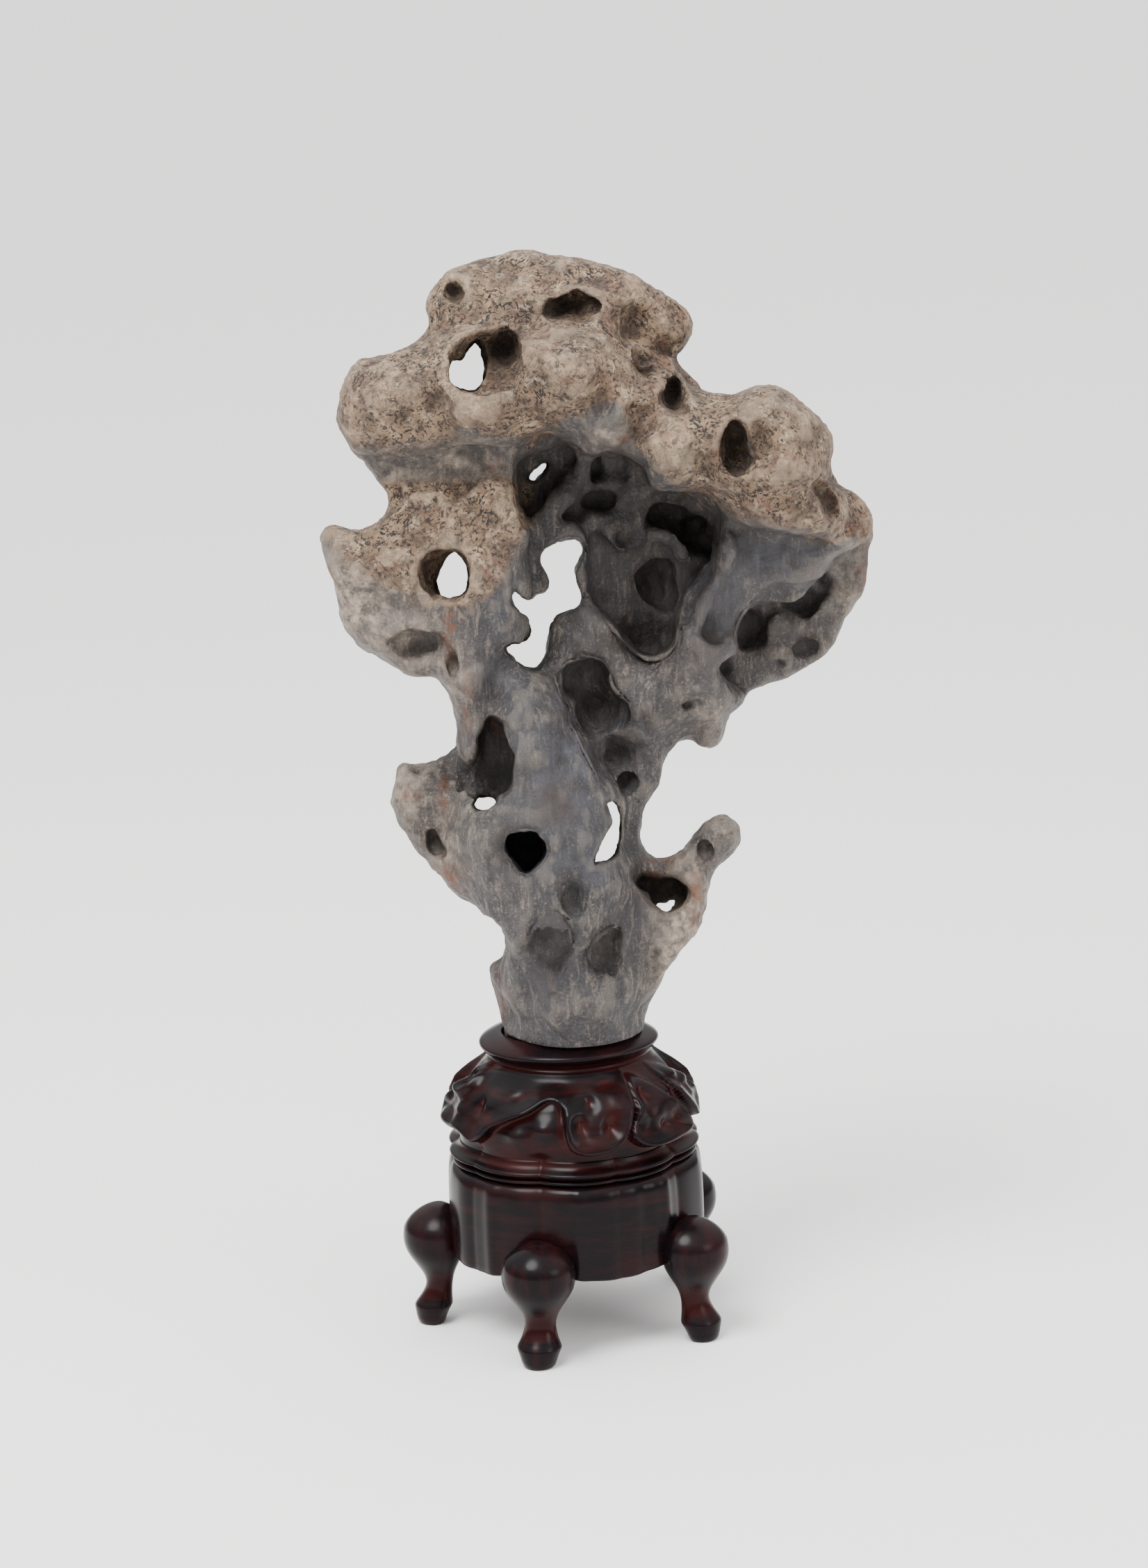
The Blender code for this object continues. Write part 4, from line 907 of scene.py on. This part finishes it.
top = {
    "steps": 360,
    "lobe": 3.4,
    "firstLobeDeg": -16,
    # The turned profile before carving: height, radius.
    "moulding": [
        (81.3, 55.0), (81.6, 56.8), (82.2, 57.8), (82.9, 58.0), (83.5, 57.3), (83.9, 55.8),
        (84.3, 55.0), (84.8, 55.6), (85.3, 57.4), (85.9, 58.9), (86.5, 59.4), (87.1, 59.0),
        (87.7, 58.0), (88.4, 56.8), (89.2, 55.8), (90.0, 55.2), (90.8, 54.8), (91.5, 54.6),
        (92.0, 54.4)],
    "body": [
        (92.0, 54.2), (97.0, 53.7), (103.0, 53.5), (109.0, 52.0), (115.0, 49.0), (121.0, 44.5),
        (126.0, 39.5), (129.0, 37.2)],
    "bodyRings": 62,
    "lip": [
        (129.6, 37.0), (130.4, 37.6), (131.6, 38.8), (133.0, 40.2), (134.2, 41.1), (134.9, 41.4),
        (135.4, 41.4), (136.0, 40.9), (136.9, 39.6), (137.9, 37.7), (138.8, 35.6), (139.5, 33.8),
        (139.9, 32.5), (140.0, 31.6), (139.8, 31.0), (139.2, 30.6), (137.0, 30.5), (134.0, 30.5),
        (132.4, 30.5), (132.0, 30.0), (132.0, 20.0), (132.0, 8.0)],
    "lipHalfWidth": 41.5,
    "lipHalfDepth": 38.0,
    "socketHalfWidth": 30.5,
    "socketHalfDepth": 26.0,
    "skirtRadius": 53.0,
    # The flaps: how proud, and the edge as (bearing in degrees, height).
    "flaps": [
        (4.5, [(-62, 127), (-80, 119), (-93, 109), (-89, 101), (-74, 99), (-62, 100), (-52, 97), (-44, 101),
               (-38, 107), (-22, 114), (-12, 119), (-5, 116), (-3, 104), (0, 98), (8, 95.5), (20, 97.5),
               (27, 104), (33, 115), (35, 122), (34, 131), (0, 133), (-30, 133)]),
        (5.5, [(36, 125), (43, 126), (51, 122), (59, 112), (66, 104), (68, 98), (61, 95), (41, 94.5),
               (31, 98), (27, 104), (32, 113)]),
        (4.0, [(60, 128), (76, 124), (89, 116), (96, 106), (92, 97), (82, 97), (74, 103), (66, 114)]),
        (4.5, [(104, 128), (98, 116), (102, 104), (112, 98), (124, 97), (130, 105), (142, 112), (152, 106),
               (158, 98), (170, 96), (176, 106), (174, 118), (168, 128), (136, 133)]),
        (4.5, [(182, 126), (180, 112), (186, 100), (198, 96), (206, 102), (216, 114), (226, 110), (232, 99),
               (246, 96), (256, 104), (258, 116), (250, 127), (216, 133)])],
    # Bosses and dimples on the carving: bearing, height, half width, half height, how far out.
    "bosses": [
        (-14, 107, 6, 5, 2.6), (-28, 103.5, 6, 4.5, 2.4), (-66, 110, 5, 6, 1.8), (25, 118, 4.5, 6, 2.2),
        (46, 113, 5, 6, 1.6), (62, 116, 5, 4, 2.0), (82, 108, 6, 5, 2.0), (36, 124, 6, 3, 1.6),
        (118, 110, 8, 6, 2.2), (150, 118, 8, 5, 2.0), (200, 108, 8, 6, 2.2), (238, 112, 8, 6, 2.2),
        (-80, 104, 6, 4, 2.0), (72, 121, 5, 3, 2.0), (12, 101, 8, 4, 1.4), (-40, 118, 8, 4, 1.2)],
    "dimples": [
        (-53, 113, 4, 4.5, 2.6), (10, 117, 4, 4, 2.8), (4, 109.5, 4, 4.5, 2.8),
        (19, 107.5, 3.6, 4.4, 2.6), (40, 118, 3.8, 3.8, 2.6), (32, 108, 3.2, 3.6, 2.2),
        (48, 104, 3.4, 3.2, 2.0), (57, 107, 3.0, 3.4, 1.8), (-28, 120, 7, 3, 1.4),
        (22, 124, 6, 2.4, 1.2), (68, 119, 3.4, 3, 2.4), (88, 113, 4, 3.4, 2.4), (112, 116, 5, 4, 2.4),
        (136, 122, 6, 3, 2.0), (162, 110, 5, 4, 2.4), (192, 118, 5, 4, 2.4), (222, 122, 6, 3, 2.0),
        (246, 106, 5, 4, 2.4), (-84, 113, 3.5, 4, 2.2), (-4, 116, 3, 5, 1.6)],
    "scroll": (-70, 122.0),
}


def risingShell(name, levels, steps):
    # A round plate drawn up ring by ring through (height, radius), closed at both ends.
    allOff()
    bpy.ops.mesh.primitive_circle_add(vertices=steps, radius=levels[0][1] * mm, fill_type="NGON",
                                      location=(standAxis.x, standAxis.y, levels[0][0] * mm))
    made = bpy.context.object
    made.name = name
    bpy.ops.object.transform_apply(location=True, rotation=True, scale=True)
    bpy.ops.object.mode_set(mode="EDIT")
    bpy.ops.mesh.select_all(action="SELECT")
    for (low, wide), (high, wider) in zip(levels, levels[1:]):
        bpy.ops.mesh.extrude_region_move(TRANSFORM_OT_translate={"value": (0, 0, (high - low) * mm)})
        bpy.ops.transform.resize(value=(wider / wide, wider / wide, 1),
                                 center_override=(standAxis.x, standAxis.y, high * mm))
    bpy.ops.mesh.select_all(action="SELECT")
    bpy.ops.mesh.normals_make_consistent(inside=False)
    bpy.ops.object.mode_set(mode="OBJECT")
    return made


def aroundAxis(places):
    # Radius and height in mm, and bearing in degrees from the front.
    x = (places[:, 0] - standAxis.x) / mm
    y = (places[:, 1] - standAxis.y) / mm
    return np.hypot(x, y), np.degrees(np.arctan2(x, -y)), places[:, 2] / mm


def fromAxis(radius, bearing, height):
    turn = np.radians(bearing)
    return np.stack([standAxis.x + radius * np.sin(turn) * mm, standAxis.y - radius * np.cos(turn) * mm,
                     height * mm], axis=1)


def lobeAt(bearing):
    # Five faces between the legs, each a shallow double wave that folds in at the legs.
    turn = np.radians(bearing - top["firstLobeDeg"])
    return top["lobe"] * (0.5 * np.abs(np.sin(2.5 * turn)) + 0.5 * np.abs(np.sin(5 * turn)) ** 0.7 - 1)


def insideDepth(bearing, height, loop):
    # Mm inside a closed edge, below nought outside it.
    along = math.radians(1) * top["skirtRadius"]
    points = [Vector((p.x * along, p.y)) for p in smoothLoop(loop)]
    nearest = np.full(len(bearing), 1e9)
    inside = np.zeros(len(bearing), dtype=bool)
    for start, end in zip(points, points[1:] + points[:1]):
        line = end - start
        part = (bearing * along - start.x) * line.x + (height - start.y) * line.y
        part = np.clip(part / max(line.length_squared, 1e-9), 0, 1)
        nearest = np.minimum(nearest, np.hypot(bearing * along - start.x - line.x * part,
                                               height - start.y - line.y * part))
        if abs(line.y) > 1e-9:
            crosses = (start.y > height) != (end.y > height)
            inside ^= crosses & (bearing * along < start.x + line.x * (height - start.y) / line.y)
    return np.where(inside, nearest, -nearest)


def nearSpot(bearing, height, spot):
    along = math.radians(1) * top["skirtRadius"]
    aside = ((bearing - spot[0] + 180) % 360 - 180) * along
    return np.exp(-((aside / spot[2]) ** 2 + ((height - spot[1]) / spot[3]) ** 2) * 1.2)


def carveBody(bearing, height):
    raised = np.zeros(len(bearing))
    for proud, loop in top["flaps"]:
        for turn in (-360, 0, 360):
            deep = insideDepth(bearing + turn, height, loop)
            form = (proud + 0.9) * smoothStep(deep, -0.4, 1.5) + 1.0 * np.exp(-((deep - 2.0) / 1.7) ** 2)
            form -= 2.0 * smoothStep(deep, 3.0, 9.0)
            raised = np.maximum(raised, form * (deep > -1.5))
    raised *= 1 - 0.85 * smoothStep(height, 114, 129)
    for spot in top["bosses"]:
        raised += spot[4] * nearSpot(bearing, height, spot)
    for spot in top["dimples"]:
        raised -= spot[4] * nearSpot(bearing, height, spot)
    # A rolled scroll with a deep eye on the left shoulder.
    along = math.radians(1) * top["skirtRadius"]
    aside = ((bearing - top["scroll"][0] + 180) % 360 - 180) * along
    rise = height - top["scroll"][1]
    away = np.hypot(aside, rise * 1.1)
    turn = np.arctan2(rise, aside)
    curl = np.cos(away * 1.25 - turn)
    raised += 5.4 * np.exp(-((away - 5.0) / 3.2) ** 2) + 0.7 * curl * np.exp(-(away / 8.0) ** 2)
    raised -= 3.4 * np.exp(-(away / 2.4) ** 2)
    return raised * smoothStep(height, 92.0, 94.5) * (1 - smoothStep(height, 126.5, 129.2))


def makeTop():
    low, high = top["body"][0][0], top["body"][-1][0]
    rings = [low + (high - low) * i / top["bodyRings"] for i in range(top["bodyRings"] + 1)]
    line = np.array(top["body"]).T
    body = [(height, float(np.interp(height, *line))) for height in rings]
    made = risingShell("carved_top", top["moulding"] + body + top["lip"], top["steps"])
    mesh = made.data
    radius, bearing, height = aroundAxis(pointsOf(mesh))
    isMoulding = height < 92.01
    isLip = height > 129.3
    isBody = ~isMoulding & ~isLip
    radius = np.where(isMoulding, radius + lobeAt(bearing), radius)
    radius = np.where(isBody, radius + carveBody(bearing, height)
                      + lobeAt(bearing) * (1 - smoothStep(height, 92, 98)), radius)
    turn = np.radians(bearing)
    wide, deep = top["lipHalfWidth"], top["lipHalfDepth"]
    outer = wide / np.hypot(np.sin(turn), np.cos(turn) * wide / deep)
    socket = 1 / np.hypot(np.sin(turn) / top["socketHalfWidth"], np.cos(turn) / top["socketHalfDepth"])
    blend = smoothStep(radius, 30.6, 36.0)
    factor = blend * outer / top["lipHalfWidth"] + (1 - blend) * socket / top["socketHalfWidth"]
    radius = np.where(isLip, radius * factor, radius)
    # The lip waves a little, as carved by hand.
    wave = 0.5 * np.sin(2 * turn + 0.6) * smoothStep(radius, 33, 40) * smoothStep(height, 129.3, 133)
    putPoints(mesh, fromAxis(radius, bearing, height + wave * isLip))
    keepMap(mesh, "pitMap", np.clip(hollowness(mesh, 14) / 0.35, -1, 1))
    print("stand: top carved", len(mesh.vertices))
    return made


apron = {
    "profile": [
        (36.0, 56.5), (36.1, 58.4), (36.6, 59.7), (37.6, 60.2), (40, 60.4), (46, 60.5), (52, 60.6),
        (58, 60.6), (64, 60.5), (70, 60.3), (74, 60.0), (76.5, 59.6), (78.3, 58.9), (79.7, 57.8),
        (80.6, 56.4), (81.0, 54.6), (81.0, 40.0), (81.0, 10.0)],
    "hollowRadius": 42.0,
    "hollowTop": 50.0,
    "steps": 300,
    "scallop": 5.0,
    # Soft upright ridges: bearing, half width, how proud.
    "ridges": [(-58, 7, 0.9), (-40, 3.5, 1.2), (2, 3.5, 1.2), (16, 5, 0.6), (33, 4, -1.2), (45, 3, 1.2),
               (75, 5, 0.6), (95, 6, 0.5), (148, 5, 0.5), (164, 5, 0.5), (220, 5, 0.5), (236, 5, 0.5)],
}


def makeApron():
    hollow = [(apron["hollowTop"], 6.0), (apron["hollowTop"], 30.0), (apron["hollowTop"] - 1.0, 40.0),
              (apron["hollowTop"] - 3.0, apron["hollowRadius"]), (40.0, apron["hollowRadius"]),
              (36.4, apron["hollowRadius"]), (36.0, apron["hollowRadius"] + 1.0)]
    made = risingShell("drum_apron", hollow + apron["profile"], apron["steps"])
    mesh = made.data
    radius, bearing, height = aroundAxis(pointsOf(mesh))
    outer = smoothStep(radius, 45, 55)
    moved = lobeAt(bearing)
    for centre, wide, proud in apron["ridges"]:
        aside = (bearing - centre + 180) % 360 - 180
        moved += proud * np.exp(-(aside / wide) ** 2)
    moved *= outer
    turn = np.radians(bearing - top["firstLobeDeg"])
    drop = apron["scallop"] * (1 - np.abs(np.sin(2.5 * turn)) ** 0.8) * (1 - smoothStep(height, 37, 56))
    putPoints(mesh, fromAxis(radius + moved, bearing, height + drop * outer))
    keepMap(mesh, "pitMap", np.clip(hollowness(mesh, 14) / 0.35, -1, 1))
    print("stand: apron shaped", len(mesh.vertices))
    return made


leg = {
    "radius": 63.5,
    "bearings": {"leg_front": -16, "leg_right": 56, "leg_back_right": 128,
                 "leg_back_left": 200, "leg_left": 272},
    "profile": [(0.0, 3.0), (0.0, 5.6), (0.3, 6.6), (1.2, 7.5), (3.6, 8.4), (6.2, 9.3), (8.0, 10.0),
                (8.9, 10.25), (9.7, 10.1), (11.2, 9.4), (13.2, 8.5), (15.6, 7.7), (18.0, 7.25),
                (20.2, 7.3), (22.6, 7.9),
                (25.2, 9.1), (28.0, 10.9), (30.8, 12.8), (33.6, 14.6), (36.4, 16.0), (39.2, 16.8),
                (42.0, 17.1), (44.8, 16.9), (47.4, 16.5), (49.8, 15.1), (52.0, 13.2), (54.0, 10.9),
                (55.8, 8.2), (57.1, 5.4), (57.9, 2.6)],
    "steps": 64,
    "flick": 4.5,
    "innerSquash": 0.72,
}


def makeLegs(wood):
    made = risingShell("leg_pattern", leg["profile"], leg["steps"])
    mesh = made.data
    pattern = pointsOf(mesh) - np.array(standAxis)
    keepMap(mesh, "pitMap", np.clip(hollowness(mesh, 10) / 0.25, -1, 1))
    mesh.materials.append(wood)
    pick(made)
    bpy.ops.object.shade_smooth()
    for name, degrees in leg["bearings"].items():
        turn = math.radians(degrees)
        copy = bpy.data.objects.new("turned_" + name, mesh.copy())
        bpy.context.scene.collection.objects.link(copy)
        outward = pattern[:, 0] / mm
        sideways = pattern[:, 1] / mm
        height = pattern[:, 2] / mm
        outward = np.where(outward < 0, outward * leg["innerSquash"], outward)
        outward = outward + leg["radius"] + leg["flick"] * (1 - smoothStep(height, 0, 22))
        x = outward * math.sin(turn) + sideways * math.cos(turn)
        y = -outward * math.cos(turn) + sideways * math.sin(turn)
        putPoints(copy.data, np.stack([standAxis.x + x * mm, standAxis.y + y * mm, height * mm], axis=1))
        dressPiece(copy, name)
    bpy.data.objects.remove(made, do_unlink=True)
    print("stand: legs turned")


def dressPiece(piece, node):
    pick(piece)
    bpy.ops.object.mode_set(mode="EDIT")
    bpy.ops.mesh.select_all(action="SELECT")
    bpy.ops.mesh.normals_make_consistent(inside=False)
    bpy.ops.object.mode_set(mode="OBJECT")
    bpy.ops.object.shade_smooth()
    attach(piece, "root")
    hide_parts(node)


def dressStand():
    level = woodMaterial("lacqueredRosewoodLevel", (0.25, 0.25, 1.6))
    upright = woodMaterial("lacqueredRosewoodUpright", (1.6, 1.6, 0.25))
    carved = makeTop()
    carved.data.materials.append(level)
    dressPiece(carved, "stand_top")
    drum = makeApron()
    drum.data.materials.append(level)
    dressPiece(drum, "stand_apron")
    makeLegs(upright)


# Floor, light and camera
studio = {
    "floorSize": 80.0,
    "floorColour": "#f4f2f1",
    "skyColour": "#ffffff",
    "skyOverhead": 2.5,
    "skyLevel": 0.45,
    # Soft round lamps: where, how wide in metres, watts, and what they aim at.
    "lights": {
        "topLight": ((-0.6, -0.8, 1.8), 1.0, 55, (0, 0, 0.3)),
        "sideLight": ((1.6, -1.2, 0.9), 1.0, 13, (0, 0, 0.25)),
    },
}


def addLight(name, place, size, power, aimAt):
    allOff()
    bpy.ops.object.light_add(type="AREA", location=place)
    made = bpy.context.object
    made.name = name
    made.data.shape = "DISK"
    made.data.size = size
    made.data.energy = power
    made.rotation_euler = (Vector(aimAt) - Vector(place)).to_track_quat("-Z", "Y").to_euler()


def makeStudio():
    allOff()
    bpy.ops.mesh.primitive_plane_add(size=studio["floorSize"], location=(0, 20, 0))
    floor = bpy.context.object
    floor.name = "studio_floor"
    bpy.ops.object.transform_apply(location=True, rotation=True, scale=True)
    made, _, shader = newMaterial("pavedWhitePaper")
    shader.inputs["Base Color"].default_value = shade(studio["floorColour"])
    shader.inputs["Roughness"].default_value = 0.8
    floor.data.materials.append(made)
    world = bpy.context.scene.world or bpy.data.worlds.new("World")
    bpy.context.scene.world = world
    world.use_nodes = True
    backdrop = world.node_tree.nodes["Background"]
    backdrop.inputs["Color"].default_value = shade(studio["skyColour"])
    # A white ceiling that dims toward the walls.
    sky = world.node_tree
    way = addNode(sky, "ShaderNodeTexCoord").outputs["Generated"]
    upward = addNode(sky, "ShaderNodeSeparateXYZ", [(way, "Vector")]).outputs["Z"]
    strength = addNode(sky, "ShaderNodeMapRange", [(upward, "Value")],
                       {"From Min": 0.0, "From Max": 0.9, "To Min": studio["skyLevel"],
                        "To Max": studio["skyOverhead"]}, interpolation_type="SMOOTHSTEP")
    sky.links.new(strength.outputs["Result"], backdrop.inputs["Strength"])
    for name, settings in studio["lights"].items():
        addLight(name, *settings)
    print("studio: lit")


def makeCamera():
    _, eye, back, above = eyeFrame()
    bpy.ops.object.camera_add(location=standAxis + eye * mm)
    camera = bpy.context.object
    camera.name = "viewCamera"
    right = Vector((1, 0, 0))
    turned = Matrix((right, above, back)).transposed()
    camera.rotation_euler = (turned @ Matrix.Rotation(-math.radians(view["leanDeg"]), 3, "Z")).to_euler()
    camera.data.sensor_fit = "VERTICAL"
    camera.data.sensor_height = 36.0
    camera.data.lens = view["lens"]
    camera.data.clip_end = 50
    bpy.context.scene.camera = camera
    print("studio: camera placed")


makeStudio()
makeCamera()
dressRock()
dressStand()
